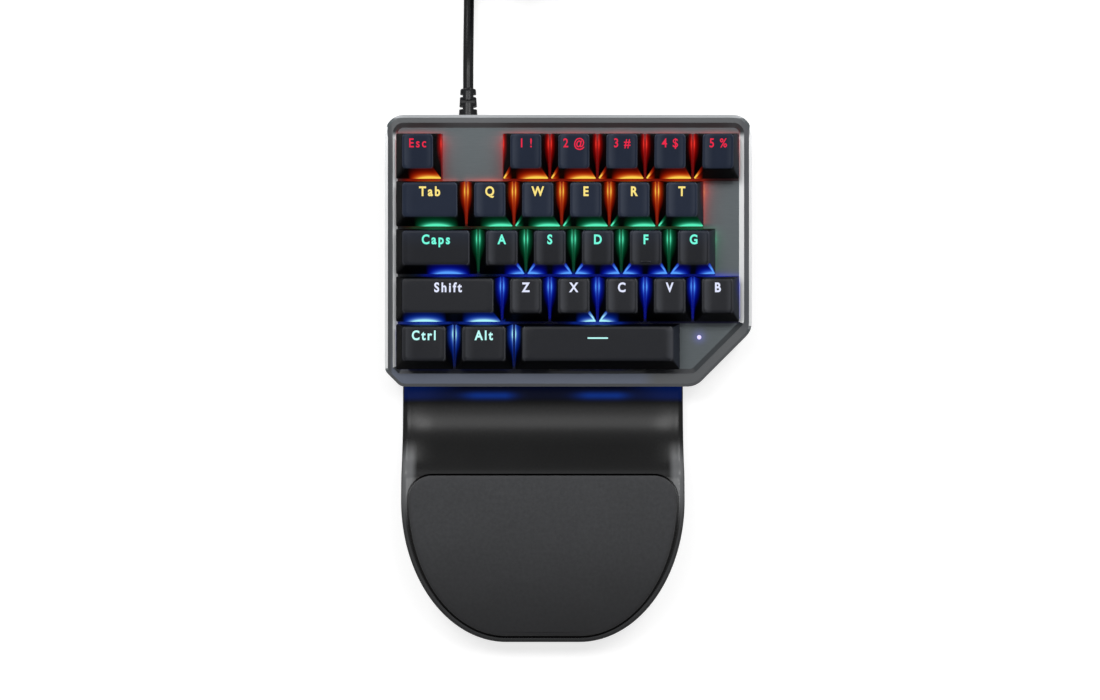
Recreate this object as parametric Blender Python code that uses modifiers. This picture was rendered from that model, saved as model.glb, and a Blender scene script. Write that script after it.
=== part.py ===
"""A one-handed gaming keypad with a palm rest, in metres, +Z up, +Y to its rear.

Sizes follow from the 19.05 mm key pitch. The world origin is the middle of the footprint on the table.
The deck (cover, circuit board and keys) is built flat in its own frame and tilted by the deck empty.
"""

import math

import bmesh
import bpy
from mathutils import Matrix, Vector

# Shared clearances
SEAT_GAP = 0.0003
OVERRUN = 0.0010
EMBED = 0.0006

# Deck
DECK_TILT = math.radians(4.0)
PLATE_HEIGHT = 0.0155
PLATE_THICKNESS = 0.0015
KEY_PITCH = 0.01905
FIELD_COLUMNS = 7.25
FIELD_ROWS = 5
MARGIN_LEFT = 0.0043
MARGIN_RIGHT = 0.0050
MARGIN_REAR = 0.0074
MARGIN_FRONT = 0.0065
REST_LENGTH = 0.1023

HOUSING_WIDTH = MARGIN_LEFT + FIELD_COLUMNS * KEY_PITCH + MARGIN_RIGHT
HOUSING_LENGTH = MARGIN_FRONT + FIELD_ROWS * KEY_PITCH + MARGIN_REAR
OVERALL_LENGTH = HOUSING_LENGTH * math.cos(DECK_TILT) + REST_LENGTH
HOUSING_LEFT = -HOUSING_WIDTH / 2
HOUSING_REAR = OVERALL_LENGTH / 2 / math.cos(DECK_TILT)
HOUSING_FRONT = HOUSING_REAR - HOUSING_LENGTH
FIELD_LEFT = HOUSING_LEFT + MARGIN_LEFT
FIELD_REAR = HOUSING_REAR - MARGIN_REAR

# Cover: outline, polished edge, land and the slope down to the plate
RIGHT_CUT = 0.0225
LEFT_CUT = 0.0063
REAR_CORNER_RADIUS = 0.0075
RIGHT_CUT_RADIUS = 0.0080
LEFT_CUT_RADIUS = 0.0040
RIM_HEIGHT = 0.0015
EDGE_CHAMFER = 0.0012
EDGE_CHAMFER_DEPTH = 0.0008
LAND_SIDE = 0.0020
LAND_FRONT = 0.0040
LAND_CUT = 0.0030
SLOPE_SIDE = 0.0019
LIP_DEPTH = 0.0030
LIP_THICKNESS = 0.0022
LEAST_RADIUS = 0.0006
ARC_STEP = math.radians(11.25)
SAME_PLACE = 0.000001

# Keys, in shares of the pitch: name, left edge, width
ROW_KEY_SHARES = (
    (("esc", 0, 1), ("1", 2.25, 1), ("2", 3.25, 1), ("3", 4.25, 1), ("4", 5.25, 1), ("5", 6.25, 1)),
    (("tab", 0, 1.5), ("q", 1.5, 1), ("w", 2.5, 1), ("e", 3.5, 1), ("r", 4.5, 1), ("t", 5.5, 1)),
    (("caps", 0, 1.75), ("a", 1.75, 1), ("s", 2.75, 1), ("d", 3.75, 1), ("f", 4.75, 1), ("g", 5.75, 1)),
    (("shift", 0, 2.25), ("z", 2.25, 1), ("x", 3.25, 1), ("c", 4.25, 1), ("v", 5.25, 1), ("b", 6.25, 1)),
    (("ctrl", 0, 1.25), ("alt", 1.25, 1.25), ("space", 2.5, 3.5)),
)
CAP_GAP = 0.00095
CAP_HEIGHT = 0.0092
CAP_FRONT_HEIGHT_SHARES = (1.04, 0.94, 0.89, 0.94, 0.94)
CAP_REAR_HEIGHT_SHARES = (1.28, 1.04, 0.89, 0.85, 0.85)
CAP_SIDE_TAPER = 0.00285
CAP_FRONT_TAPER = 0.0034
CAP_REAR_TAPER = 0.00095
CAP_BASE_CORNER = 0.0006
CAP_TOP_CORNER = 0.0016
CAP_WALL = 0.0013
CAP_ROOF = 0.0016
DISH_DEPTH = 0.0007
CAP_CLEARANCE = 0.0062
KEY_TRAVEL = 0.0040

# Switches
SWITCH_HOLE = 0.0140
SWITCH_BODY = 0.0134
SWITCH_FLANGE = 0.0156
FLANGE_THICKNESS = 0.0010
SWITCH_SHOULDER = 0.0148
SWITCH_CROWN = 0.0108
SWITCH_TOP = 0.0066
SLIDER_WIDTH = 0.0070
SLIDER_DEPTH = 0.0054
SLIDER_CLEARANCE = 0.0003
SLIDER_BOTTOM = 0.0009
BOARD_DROP = 0.0050
BOARD_THICKNESS = 0.0016
BOARD_MARGIN = 0.0010

# Stabiliser of the space key
STABILISER_SPACING = 0.0380
STABILISER_WIDTH = 0.0066
STABILISER_DEPTH = 0.0116
STABILISER_TOP = 0.0050
STEM_SIZE = 0.0038
STEM_BOTTOM = 0.0004
WIRE_RADIUS = 0.0006
WIRE_OFFSET = 0.00875
WIRE_HEIGHT = 0.0011
LEAST_WIRED_UNITS = 3
WIRE_END_OFFSET = 0.0005
WIRE_SLOT_WIDTH = 0.0022
WIRE_PLAY = 0.0009
WINDOW_CLEARANCE = 0.0003
WINDOW_FRONT = 0.0082

# Case
CASE_INSET = 0.0008
CASE_WALL = 0.0020
CASE_FLOOR = 0.0020
CASE_CHAMFER = 0.0015
UNDERSIDE = 0.0020

# Screws
SCREW_RADIUS = 0.00125
SCREW_HEAD_RADIUS = 0.00225
SCREW_HEAD_HEIGHT = 0.0015
CASE_SCREW_LENGTH = 0.0080
CASE_SCREW_TIP = 0.0024
REST_SCREW_LENGTH = 0.0045
SCREW_CLEARANCE = 0.0002
HEAD_CLEARANCE = 0.0003
POST_RADIUS = 0.0038
POST_NECK_RADIUS = 0.0028
POST_STEP = 0.0015
BOSS_DEPTH = 0.0045
BOARD_HOLE_CLEARANCE = 0.0005
SCREW_SIDES = 12

# Pads under the case and the rest
PAD_WIDTH = 0.0058
PAD_LENGTH = 0.0180
PAD_RECESS = 0.0008
PAD_SIDE_INSET = 0.0071
REAR_PAD_INSET = 0.0180
LEFT_PAD_INSET = 0.0155
RIGHT_PAD_INSET = 0.0350
REST_PAD_REACH = 0.0320
REST_PAD_INSET = 0.0280

# Tilt feet
TILT_FOOT_REACH = 0.0530
TILT_FOOT_INSET = 0.0065
TILT_FOOT_WIDTH = 0.0160
TILT_FOOT_LENGTH = 0.0180
TILT_FOOT_RADIUS = 0.0022
TILT_PIN_RADIUS = 0.0012
TILT_PIN_LENGTH = 0.0016
TILT_CLEARANCE = 0.0004
POCKET_WALL = 0.0025
POCKET_ROOF = 0.0016
POCKET_FINGER_ROOM = 0.0040

# Palm rest
REST_MIDDLE_INSET = 0.06345
REST_FLAT_HALF_WIDTH = 0.0147
REST_CURVE_WIDTH = 0.0420
REST_CURVE_LENGTH = 0.0570
REST_SKIRT = 0.0023
REST_EDGE_RADIUS = 0.0050
REST_WALL = 0.0025
NECK_HEIGHT = 0.0093
NECK_LENGTH = 0.0110
RISE_LENGTH = 0.0290
CREST_HEIGHT = 0.0215
CREST_INSET = 0.0440
FRONT_HEIGHT = 0.0150
PAD_EDGE_INSET = 0.0024
PAD_STRAIGHT_LENGTH = 0.0002
PAD_FRONT_INSET = 0.0017
PAD_CORNER_RADIUS = 0.0100
PAD_SINK = 0.0012
PAD_GROOVE = 0.0008
PAD_CROWN = 0.0012
PAD_EDGE_ROUND = 0.0016
BASE_THICKNESS = 0.0030
BASE_CLEARANCE = 0.0004
TONGUE_WIDTH = 0.0700
TONGUE_LENGTH = 0.0180
TONGUE_ROOM = 0.0003
REST_SCREW_REACH = 0.0280
REST_SCREW_INSET = 0.0080
FRONT_SCREW_INSET = 0.0400
REST_BOSS_RADIUS = 0.0030
REST_BOSS_HEIGHT = 0.0090
CURVE_STATION_COUNT = 9
STRAIGHT_STATION_COUNT = 9

# Electronics
CHIP_SIZE = 0.0070
CHIP_HEIGHT = 0.0010
CHIP_COLUMN_SHARE = 3.12
CONNECTOR_WIDTH = 0.0090
CONNECTOR_LENGTH = 0.0080
CONNECTOR_HEIGHT = 0.0055
CONNECTOR_INSET = 0.0120
LIGHT_COLUMN_SHARE = 6.404
LIGHT_ROW_SHARE = 4.30
LIGHT_RADIUS = 0.0006
LIGHT_FOOT_RADIUS = 0.0015
LIGHT_FOOT_TOP = 0.0020
LIGHT_PROUD = 0.0001

# Cable, its strain relief, coil, tie and plug
CABLE_RADIUS = 0.0021
CABLE_LENGTH = 1.50
CABLE_INSET = 0.0331
CABLE_HEIGHT = 0.0124
CABLE_SIDE_STEPS = 8
RELIEF_FLANGE_RADIUS = 0.0034
RELIEF_FLANGE = 0.0015
RELIEF_NECK_RADIUS = 0.0025
RELIEF_BASE_RADIUS = 0.00385
RELIEF_END_RADIUS = 0.00315
RELIEF_LENGTH = 0.0130
RELIEF_NOTCH = 0.0013
RELIEF_NOTCH_PITCH = 0.0025
RELIEF_NOTCH_COUNT = 4
RELIEF_CORE = 0.0021
COIL_DISTANCE = 0.0750
COIL_MEAN_RADIUS = 0.0235
COIL_GAP = 0.0006
COIL_LAYERS = 4
COIL_POINTS = 24
TAIL_RADIUS = 0.0170
TAIL_POINTS = 7
TIE_THICKNESS = 0.0006
TIE_WIDTH = 0.0080
TIE_GAP = 0.0004
TIE_SIDE_GAP = 0.0010
TIE_CORNER = 0.0015
TIE_TURN_SHARE = 0.75
PLUG_WIDTH = 0.0155
PLUG_HEIGHT = 0.0080
PLUG_LENGTH = 0.0180
PLUG_NOSE_WIDTH = 0.0072
PLUG_NOSE_HEIGHT = 0.0060
PLUG_NOSE_LENGTH = 0.0060
PLUG_CORNER = 0.0018
SHELL_WIDTH = 0.0120
SHELL_HEIGHT = 0.0045
SHELL_LENGTH = 0.0120
SHELL_WALL = 0.0004
SHELL_TONGUE = 0.0019
SHELL_MOUTH = 0.0090
SHELL_CORNER = 0.0004

# Surface colours
BLACK_PLASTIC = (0.012, 0.012, 0.013)
METAL_GREY = (0.150, 0.158, 0.170)
CAP_BLACK = (0.020, 0.021, 0.025)
BOARD_GREEN = (0.010, 0.060, 0.030)
PAD_GREY = (0.040, 0.041, 0.043)
RUBBER_BLACK = (0.008, 0.008, 0.008)
STEEL = (0.55, 0.56, 0.58)
CHIP_BLACK = (0.010, 0.010, 0.010)
IVORY = (0.75, 0.72, 0.62)
LIGHT_WHITE = (0.85, 0.85, 0.95)


def clear_scene():
    for obj in list(bpy.data.objects):
        bpy.data.objects.remove(obj, do_unlink=True)


def collection(name):
    made = bpy.data.collections.new(name)
    bpy.context.scene.collection.children.link(made)
    return made


def material(name, colour, roughness, metallic=0.0):
    made = bpy.data.materials.new(name)
    made.use_nodes = True
    shader = made.node_tree.nodes["Principled BSDF"]
    shader.inputs["Base Color"].default_value = (*colour, 1)
    shader.inputs["Roughness"].default_value = roughness
    shader.inputs["Metallic"].default_value = metallic
    return made


clear_scene()
KEYPAD = collection("gaming_keypad")
CUTTERS = collection("cutters")
SATIN_BLACK = material("satin_black", BLACK_PLASTIC, 0.35)
GUNMETAL = material("gunmetal", METAL_GREY, 0.32, 0.9)
KEY_PLASTIC = material("key_plastic", CAP_BLACK, 0.5)
BOARD = material("circuit_board", BOARD_GREEN, 0.5)
PAD_CLOTH = material("pad_cloth", PAD_GREY, 0.9)
RUBBER = material("rubber", RUBBER_BLACK, 0.8)
BRIGHT_STEEL = material("bright_steel", STEEL, 0.25, 1.0)
CHIP_PLASTIC = material("chip_plastic", CHIP_BLACK, 0.4)
IVORY_PLASTIC = material("ivory_plastic", IVORY, 0.5)
CLEAR_WHITE = material("light_pipe", LIGHT_WHITE, 0.2)


def add(name, mesh, finish=None, parent=None, place=(0, 0, 0), turn=(0, 0, 0)):
    """An object that becomes a piece, or a hidden cutter where no finish is given."""
    obj = bpy.data.objects.new(name, mesh)
    obj.location = place
    obj.rotation_euler = turn
    obj.parent = parent
    if finish is None:
        CUTTERS.objects.link(obj)
        obj.hide_render = True
        obj.display_type = "WIRE"
    else:
        KEYPAD.objects.link(obj)
        if finish.name not in mesh.materials:
            mesh.materials.append(finish)
    return obj


def to_mesh(bm, name, smooth=True):
    bmesh.ops.recalc_face_normals(bm, faces=bm.faces)
    mesh = bpy.data.meshes.new(name)
    bm.to_mesh(mesh)
    bm.free()
    if smooth:
        mesh.shade_smooth()
        mesh.set_sharp_from_angle(angle=math.radians(35))
    return mesh


def loft(name, rings, end_strips=False):
    """A closed solid through rings of equally many points. With end_strips the last ring is closed
    by strips between its front and rear halves instead of one flat face."""
    bm = bmesh.new()
    rows = [[bm.verts.new(point) for point in ring] for ring in rings]
    count = len(rows[0])
    for low, high in zip(rows, rows[1:]):
        for i in range(count):
            j = (i + 1) % count
            bm.faces.new((low[i], low[j], high[j], high[i]))
    bm.faces.new(rows[0][::-1])
    if end_strips:
        last = rows[-1]
        for i in range(count // 2 - 1):
            bm.faces.new((last[i], last[i + 1], last[-2 - i], last[-1 - i]))
    else:
        bm.faces.new(rows[-1])
    return to_mesh(bm, name)


def boxes(name, places):
    """One mesh of separate boxes, each given by its low and its high corner."""
    bm = bmesh.new()
    for low, high in places:
        low, high = Vector(low), Vector(high)
        size = Matrix.Diagonal((*(high - low), 1))
        bmesh.ops.create_cube(bm, size=1, matrix=Matrix.Translation((low + high) / 2) @ size)
    return to_mesh(bm, name, smooth=False)


def box_round(x, y, half_x, half_y, low, high):
    """Low and high corner of a box about an upright axis."""
    return (x - half_x, y - half_y, low), (x + half_x, y + half_y, high)


def circle(x, y, z, radius, sides=SCREW_SIDES):
    angles = [2 * math.pi * i / sides for i in range(sides)]
    return [(x + radius * math.cos(a), y + radius * math.sin(a), z) for a in angles]


def stepped_round(name, x, y, profile, sides=SCREW_SIDES):
    """A round solid about an upright axis through (radius, height) steps, lowest first."""
    return loft(name, [circle(x, y, z, radius, sides) for radius, z in profile])


def joined(name, meshes):
    bm = bmesh.new()
    for mesh in meshes:
        bm.from_mesh(mesh)
        bpy.data.meshes.remove(mesh)
    return to_mesh(bm, name)


def shape(target, operation, tool):
    change = target.modifiers.new(operation.lower(), "BOOLEAN")
    change.operation = operation
    change.object = tool
    change.solver = "EXACT"


def cut(target, mesh, parent=None, place=(0, 0, 0), turn=(0, 0, 0)):
    shape(target, "DIFFERENCE", add(mesh.name, mesh, None, parent, place, turn))


def fuse(target, mesh, parent=None, place=(0, 0, 0), turn=(0, 0, 0)):
    shape(target, "UNION", add(mesh.name, mesh, None, parent, place, turn))


def settled(obj):
    """The object's mesh with its modifiers applied; the object and its tools are removed."""
    bpy.context.view_layer.update()
    graph = bpy.context.evaluated_depsgraph_get()
    mesh = bpy.data.meshes.new_from_object(obj.evaluated_get(graph))
    for change in obj.modifiers:
        bpy.data.objects.remove(change.object, do_unlink=True)
    bpy.data.objects.remove(obj, do_unlink=True)
    return mesh


def inset(corners, offsets):
    """Corners of a convex outline, counterclockwise, with side i moved inwards by offsets[i]."""
    moved = []
    count = len(corners)
    for i in range(count):
        sides = []
        for k in (i - 1, i):
            start, end = Vector(corners[k % count]), Vector(corners[(k + 1) % count])
            along = (end - start).normalized()
            inwards = Vector((-along.y, along.x))
            sides.append((start + inwards * offsets[k % count], along, inwards))
        (first, along, _), (second, _, inwards) = sides
        reach = (second - first).dot(inwards) / along.dot(inwards)
        moved.append(first + along * reach)
    return moved


def rounded(corners, radii):
    """The outline with each corner turned into an arc."""
    points = []
    count = len(corners)
    for i, radius in enumerate(radii):
        here, before, after = (Vector(corners[k % count]) for k in (i, i - 1, i + 1))
        arriving, leaving = (here - before).normalized(), (after - here).normalized()
        turn = math.acos(max(-1, min(1, arriving.dot(leaving))))
        start = here - arriving * radius * math.tan(turn / 2)
        centre = start + Vector((-arriving.y, arriving.x)) * radius
        steps = max(2, round(turn / ARC_STEP))
        for step in range(steps + 1):
            points.append(centre + Matrix.Rotation(turn * step / steps, 2) @ (start - centre))
    return points


HOUSING_CORNERS = (
    (HOUSING_LEFT + LEFT_CUT, HOUSING_FRONT),
    (-HOUSING_LEFT - RIGHT_CUT, HOUSING_FRONT),
    (-HOUSING_LEFT, HOUSING_FRONT + RIGHT_CUT),
    (-HOUSING_LEFT, HOUSING_REAR),
    (HOUSING_LEFT, HOUSING_REAR),
    (HOUSING_LEFT, HOUSING_FRONT + LEFT_CUT),
)
HOUSING_RADII = (
    LEFT_CUT_RADIUS,
    RIGHT_CUT_RADIUS,
    RIGHT_CUT_RADIUS,
    REAR_CORNER_RADIUS,
    REAR_CORNER_RADIUS,
    LEFT_CUT_RADIUS,
)
SIDE_COUNT = len(HOUSING_CORNERS)


def housing_outline(offsets, height, flatten=1):
    """A ring of the housing's outline, each side drawn in by its own offset."""
    corners = inset(HOUSING_CORNERS, offsets)
    radii = []
    for i, radius in enumerate(HOUSING_RADII):
        drawn_in = (offsets[i - 1] + offsets[i]) / 2
        radii.append(max(LEAST_RADIUS, radius - drawn_in))
    return [(x, y * flatten, height) for x, y in rounded(corners, radii)]


def all_round(offset):
    return [offset] * SIDE_COUNT


def key_places():
    """Name, row, middle x, middle y and width in units of each key, on the deck."""
    for row, keys in enumerate(ROW_KEY_SHARES):
        y = FIELD_REAR - (row + 1 / 2) * KEY_PITCH
        for name, start, units in keys:
            yield name, row, FIELD_LEFT + (start + units / 2) * KEY_PITCH, y, units


KEYS = list(key_places())
SPACE_X, SPACE_Y = next((x, y) for name, _, x, y, _ in KEYS if name == "space")
DECK = bpy.data.objects.new("deck", None)
KEYPAD.objects.link(DECK)
DECK.location = (0, 0, PLATE_HEIGHT)
DECK.rotation_euler = (DECK_TILT, 0, 0)

# Places of the case screws on the deck, in shares of the pitch from the field's rear left corner
CASE_SCREW_SHARES = ((2.05, 0.5), (6.87, 1.5), (0.14, 1.5), (0.36, 3.5), (6.35, 4.68))
CASE_SCREWS = [(FIELD_LEFT + u * KEY_PITCH, FIELD_REAR - v * KEY_PITCH) for u, v in CASE_SCREW_SHARES]
SCREW_SEAT = -(CASE_SCREW_TIP + CASE_SCREW_LENGTH)
LIGHT_X = FIELD_LEFT + LIGHT_COLUMN_SHARE * KEY_PITCH
LIGHT_Y = FIELD_REAR - LIGHT_ROW_SHARE * KEY_PITCH


def deck_height(y):
    """World height of the plate's top face at deck place y."""
    return PLATE_HEIGHT + y * math.sin(DECK_TILT)


def deck_depth(y, height):
    """Deck z, at deck place y, of the world height given."""
    return (height - deck_height(y)) / math.cos(DECK_TILT)


def top_cover():
    land = EDGE_CHAMFER + LAND_SIDE
    lands = [EDGE_CHAMFER + LAND_FRONT, EDGE_CHAMFER + LAND_CUT, land, land, land, land]
    pan = [offset + SLOPE_SIDE for offset in lands]
    rings = (
        housing_outline(all_round(LIP_THICKNESS), -PLATE_THICKNESS),
        housing_outline(all_round(LIP_THICKNESS), -LIP_DEPTH),
        housing_outline(all_round(0), -LIP_DEPTH),
        housing_outline(all_round(0), RIM_HEIGHT - EDGE_CHAMFER_DEPTH),
        housing_outline(all_round(EDGE_CHAMFER), RIM_HEIGHT),
        housing_outline(lands, RIM_HEIGHT),
        housing_outline(pan, 0),
    )
    cover = add("top_cover", loft("top_cover", rings), GUNMETAL, DECK)
    half = SWITCH_HOLE / 2
    low, high = -PLATE_THICKNESS - OVERRUN, OVERRUN
    holes = [box_round(x, y, half, half, low, high) for _, _, x, y, _ in KEYS]
    for side in (-1, 1):
        x = SPACE_X + side * STABILISER_SPACING / 2
        reach = STABILISER_WIDTH / 2 + WINDOW_CLEARANCE
        rear = SPACE_Y + STABILISER_DEPTH / 2 + WINDOW_CLEARANCE
        holes.append(((x - reach, SPACE_Y - WINDOW_FRONT, low), (x + reach, rear, high)))
    cut(cover, boxes("switch_holes", holes))
    cover.modifiers[-1].object.parent = DECK
    light_hole = LIGHT_RADIUS + SEAT_GAP
    cut(cover, stepped_round("light_hole", LIGHT_X, LIGHT_Y, ((light_hole, low), (light_hole, high))), DECK)
    bosses, threads = [], []
    thread = SCREW_RADIUS + SCREW_CLEARANCE
    top = -CASE_SCREW_TIP + SEAT_GAP
    for x, y in CASE_SCREWS:
        steps = ((POST_NECK_RADIUS, -BOSS_DEPTH), (POST_NECK_RADIUS, EMBED - PLATE_THICKNESS))
        bosses.append(stepped_round("boss", x, y, steps))
        threads.append(stepped_round("thread", x, y, ((thread, -BOSS_DEPTH - OVERRUN), (thread, top))))
    fuse(cover, joined("cover_bosses", bosses), DECK)
    cut(cover, joined("cover_threads", threads), DECK)


def switch_rings(x, y):
    """Square rings of one switch housing, from its foot up and back down into its well."""
    foot = -BOARD_DROP - EMBED / 2
    seat = SEAT_GAP
    well_x = SLIDER_WIDTH + 2 * SLIDER_CLEARANCE
    well_y = SLIDER_DEPTH + 2 * SLIDER_CLEARANCE
    bottom = SLIDER_BOTTOM - KEY_TRAVEL - SLIDER_CLEARANCE
    steps = (
        (SWITCH_BODY, SWITCH_BODY, foot),
        (SWITCH_BODY, SWITCH_BODY, seat),
        (SWITCH_FLANGE, SWITCH_FLANGE, seat),
        (SWITCH_FLANGE, SWITCH_FLANGE, seat + FLANGE_THICKNESS),
        (SWITCH_SHOULDER, SWITCH_SHOULDER, seat + FLANGE_THICKNESS),
        (SWITCH_CROWN, SWITCH_CROWN, SWITCH_TOP),
        (well_x, well_y, SWITCH_TOP),
        (well_x, well_y, bottom),
    )
    corners = ((-1, -1), (1, -1), (1, 1), (-1, 1))
    return [[(x + i * wide / 2, y + j * deep / 2, z) for i, j in corners] for wide, deep, z in steps]


def stabiliser_rings(x, y):
    foot = -BOARD_DROP - EMBED / 2
    well = STEM_SIZE + 2 * SLIDER_CLEARANCE
    bottom = STEM_BOTTOM - KEY_TRAVEL - SLIDER_CLEARANCE
    steps = (
        (STABILISER_WIDTH, STABILISER_DEPTH, foot),
        (STABILISER_WIDTH, STABILISER_DEPTH, STABILISER_TOP),
        (well, well, STABILISER_TOP),
        (well, well, bottom),
    )
    corners = ((-1, -1), (1, -1), (1, 1), (-1, 1))
    return [[(x + i * wide / 2, y + j * deep / 2, z) for i, j in corners] for wide, deep, z in steps]


def circuit_board():
    edge = all_round(CASE_INSET + CASE_WALL + BOARD_MARGIN)
    rings = (
        housing_outline(edge, -BOARD_DROP - BOARD_THICKNESS),
        housing_outline(edge, -BOARD_DROP),
    )
    board = add("circuit_board", loft("circuit_board", rings), BOARD, DECK)
    housings = [loft("switch", switch_rings(x, y)) for _, _, x, y, _ in KEYS]
    for side in (-1, 1):
        x = SPACE_X + side * STABILISER_SPACING / 2
        housings.append(loft("stabiliser", stabiliser_rings(x, SPACE_Y)))
    fuse(board, joined("switch_housings", housings), DECK)
    slots = []
    well = STEM_SIZE / 2
    for side in (-1, 1):
        x = SPACE_X + side * STABILISER_SPACING / 2
        low = (x - WIRE_SLOT_WIDTH / 2, SPACE_Y - STABILISER_DEPTH / 2 - OVERRUN, -BOARD_DROP / 2)
        high = (x + WIRE_SLOT_WIDTH / 2, SPACE_Y - well, STABILISER_TOP + OVERRUN)
        slots.append((low, high))
    cut(board, boxes("wire_slots", slots), DECK)
    clear = POST_NECK_RADIUS + BOARD_HOLE_CLEARANCE
    low, high = -BOARD_DROP - BOARD_THICKNESS - OVERRUN, -BOARD_DROP + OVERRUN
    holes = [stepped_round("hole", x, y, ((clear, low), (clear, high))) for x, y in CASE_SCREWS]
    cut(board, joined("board_holes", holes), DECK)


def electronics():
    under = -BOARD_DROP - BOARD_THICKNESS - SEAT_GAP
    x, y = FIELD_LEFT + CHIP_COLUMN_SHARE * KEY_PITCH, FIELD_REAR - KEY_PITCH
    half = CHIP_SIZE / 2
    chip = boxes("controller_chip", [box_round(x, y, half, half, under - CHIP_HEIGHT, under)])
    add("controller_chip", chip, CHIP_PLASTIC, DECK)
    y = HOUSING_REAR - CONNECTOR_INSET - CONNECTOR_LENGTH / 2
    half_x, half_y = CONNECTOR_WIDTH / 2, CONNECTOR_LENGTH / 2
    place = box_round(cable_x(), y, half_x, half_y, under - CONNECTOR_HEIGHT, under)
    add("cable_connector", boxes("cable_connector", [place]), IVORY_PLASTIC, DECK)
    steps = (
        (LIGHT_FOOT_RADIUS, -BOARD_DROP + SEAT_GAP),
        (LIGHT_FOOT_RADIUS, -LIGHT_FOOT_TOP),
        (LIGHT_RADIUS, -LIGHT_FOOT_TOP),
        (LIGHT_RADIUS, LIGHT_PROUD),
    )
    add("status_light", stepped_round("status_light", LIGHT_X, LIGHT_Y, steps), CLEAR_WHITE, DECK)


def cap_ring(half_x, front, rear, corner, height_front, height_rear, dish=0):
    """Fourteen points round a cap. The front and rear edges sink towards the middle by the dish."""
    ring = []
    edge_shares = (-1, -1 / 2, 0, 1 / 2, 1)
    depth = rear - front
    for y, shares in ((front, edge_shares), (rear, edge_shares[::-1])):
        for share in shares:
            height = height_front if y == front else height_rear
            ring.append((share * (half_x - corner), y, height - dish * (1 - share * share)))
        slope = (height_rear - height_front) * corner / depth
        if y == front:
            ring.append((half_x, front + corner, height_front + slope))
            ring.append((half_x, rear - corner, height_rear - slope))
        else:
            ring.append((-half_x, rear - corner, height_rear - slope))
            ring.append((-half_x, front + corner, height_front + slope))
    return ring


def cap_top_shares(ring):
    """The ring turned so that its front half comes first, for strips between front and rear."""
    return ring[-1:] + ring[:-1]


def cap_mesh(row, units):
    """A cap with its hollow and the slider below it, about the switch's middle at the plate's top."""
    wired = units > LEAST_WIRED_UNITS
    dish = 0 if wired else DISH_DEPTH
    half_x = (units * KEY_PITCH - CAP_GAP) / 2
    half_y = (KEY_PITCH - CAP_GAP) / 2
    top_x = half_x - CAP_SIDE_TAPER
    front, rear = -half_y + CAP_FRONT_TAPER, half_y - CAP_REAR_TAPER
    high_front = CAP_CLEARANCE + CAP_HEIGHT * CAP_FRONT_HEIGHT_SHARES[row]
    high_rear = CAP_CLEARANCE + CAP_HEIGHT * CAP_REAR_HEIGHT_SHARES[row]
    low = CAP_CLEARANCE
    base = cap_ring(half_x, -half_y, half_y, CAP_BASE_CORNER, low, low)
    top = cap_ring(top_x, front, rear, CAP_TOP_CORNER, high_front, high_rear, dish)
    rings = [cap_top_shares(base), cap_top_shares(top)]
    cap = add("cap", loft("cap", rings, end_strips=True), KEY_PLASTIC)
    roof = min(high_front, high_rear) - dish - CAP_ROOF
    share = (roof - low) / (min(high_front, high_rear) - low)
    corners = ((-1, -1), (1, -1), (1, 1), (-1, 1))
    hollow = []
    for z, drawn_in in ((low - OVERRUN, 0), (low, 0), (roof, share)):
        wide = half_x - CAP_WALL - drawn_in * CAP_SIDE_TAPER
        near = -half_y + CAP_WALL + drawn_in * CAP_FRONT_TAPER
        far = half_y - CAP_WALL - drawn_in * CAP_REAR_TAPER
        hollow.append([(i * wide, far if j > 0 else near, z) for i, j in corners])
    cut(cap, loft("cap_hollow", hollow))
    slider = [box_round(0, 0, SLIDER_WIDTH / 2, SLIDER_DEPTH / 2, SLIDER_BOTTOM, roof + EMBED)]
    if wired:
        half = STEM_SIZE / 2
        for side in (-1, 1):
            x = side * STABILISER_SPACING / 2
            slider.append(box_round(x, 0, half, half, STEM_BOTTOM, roof + EMBED))
    fuse(cap, boxes("sliders", slider))
    if wired:
        slots = []
        for side in (-1, 1):
            x = side * STABILISER_SPACING / 2
            middle = WIRE_HEIGHT + KEY_TRAVEL / 2
            tall = WIRE_RADIUS + WIRE_PLAY
            near, far = -STEM_SIZE / 2 - OVERRUN, WIRE_END_OFFSET + WIRE_RADIUS
            slots.append(((x - STEM_SIZE, near, middle - tall), (x + STEM_SIZE, far, middle + tall)))
        cut(cap, boxes("stem_slots", slots))
    return settled(cap)


def keys():
    made = {}
    for name, row, x, y, units in KEYS:
        if (row, units) not in made:
            made[row, units] = cap_mesh(row, units)
        add("key_" + name, made[row, units], KEY_PLASTIC, DECK, (x, y, 0))


def swept(name, points, radius, resolution, finish):
    """A round bar or tube along points, as a mesh with its caps welded on."""
    curve = bpy.data.curves.new(name + "_line", "CURVE")
    curve.dimensions = "3D"
    curve.bevel_depth = radius
    curve.bevel_resolution = resolution
    curve.use_fill_caps = True
    spline = curve.splines.new("POLY")
    spline.points.add(len(points) - 1)
    for point, place in zip(spline.points, points):
        point.co = (*place, 1)
    line = bpy.data.objects.new(name + "_line", curve)
    KEYPAD.objects.link(line)
    bpy.context.view_layer.update()
    mesh = bpy.data.meshes.new_from_object(line.evaluated_get(bpy.context.evaluated_depsgraph_get()))
    bpy.data.objects.remove(line, do_unlink=True)
    bm = bmesh.new()
    bm.from_mesh(mesh)
    bmesh.ops.remove_doubles(bm, verts=bm.verts, dist=SAME_PLACE)
    bpy.data.meshes.remove(mesh)
    mesh = to_mesh(bm, name)
    return mesh if finish is None else add(name, mesh, finish)


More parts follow.
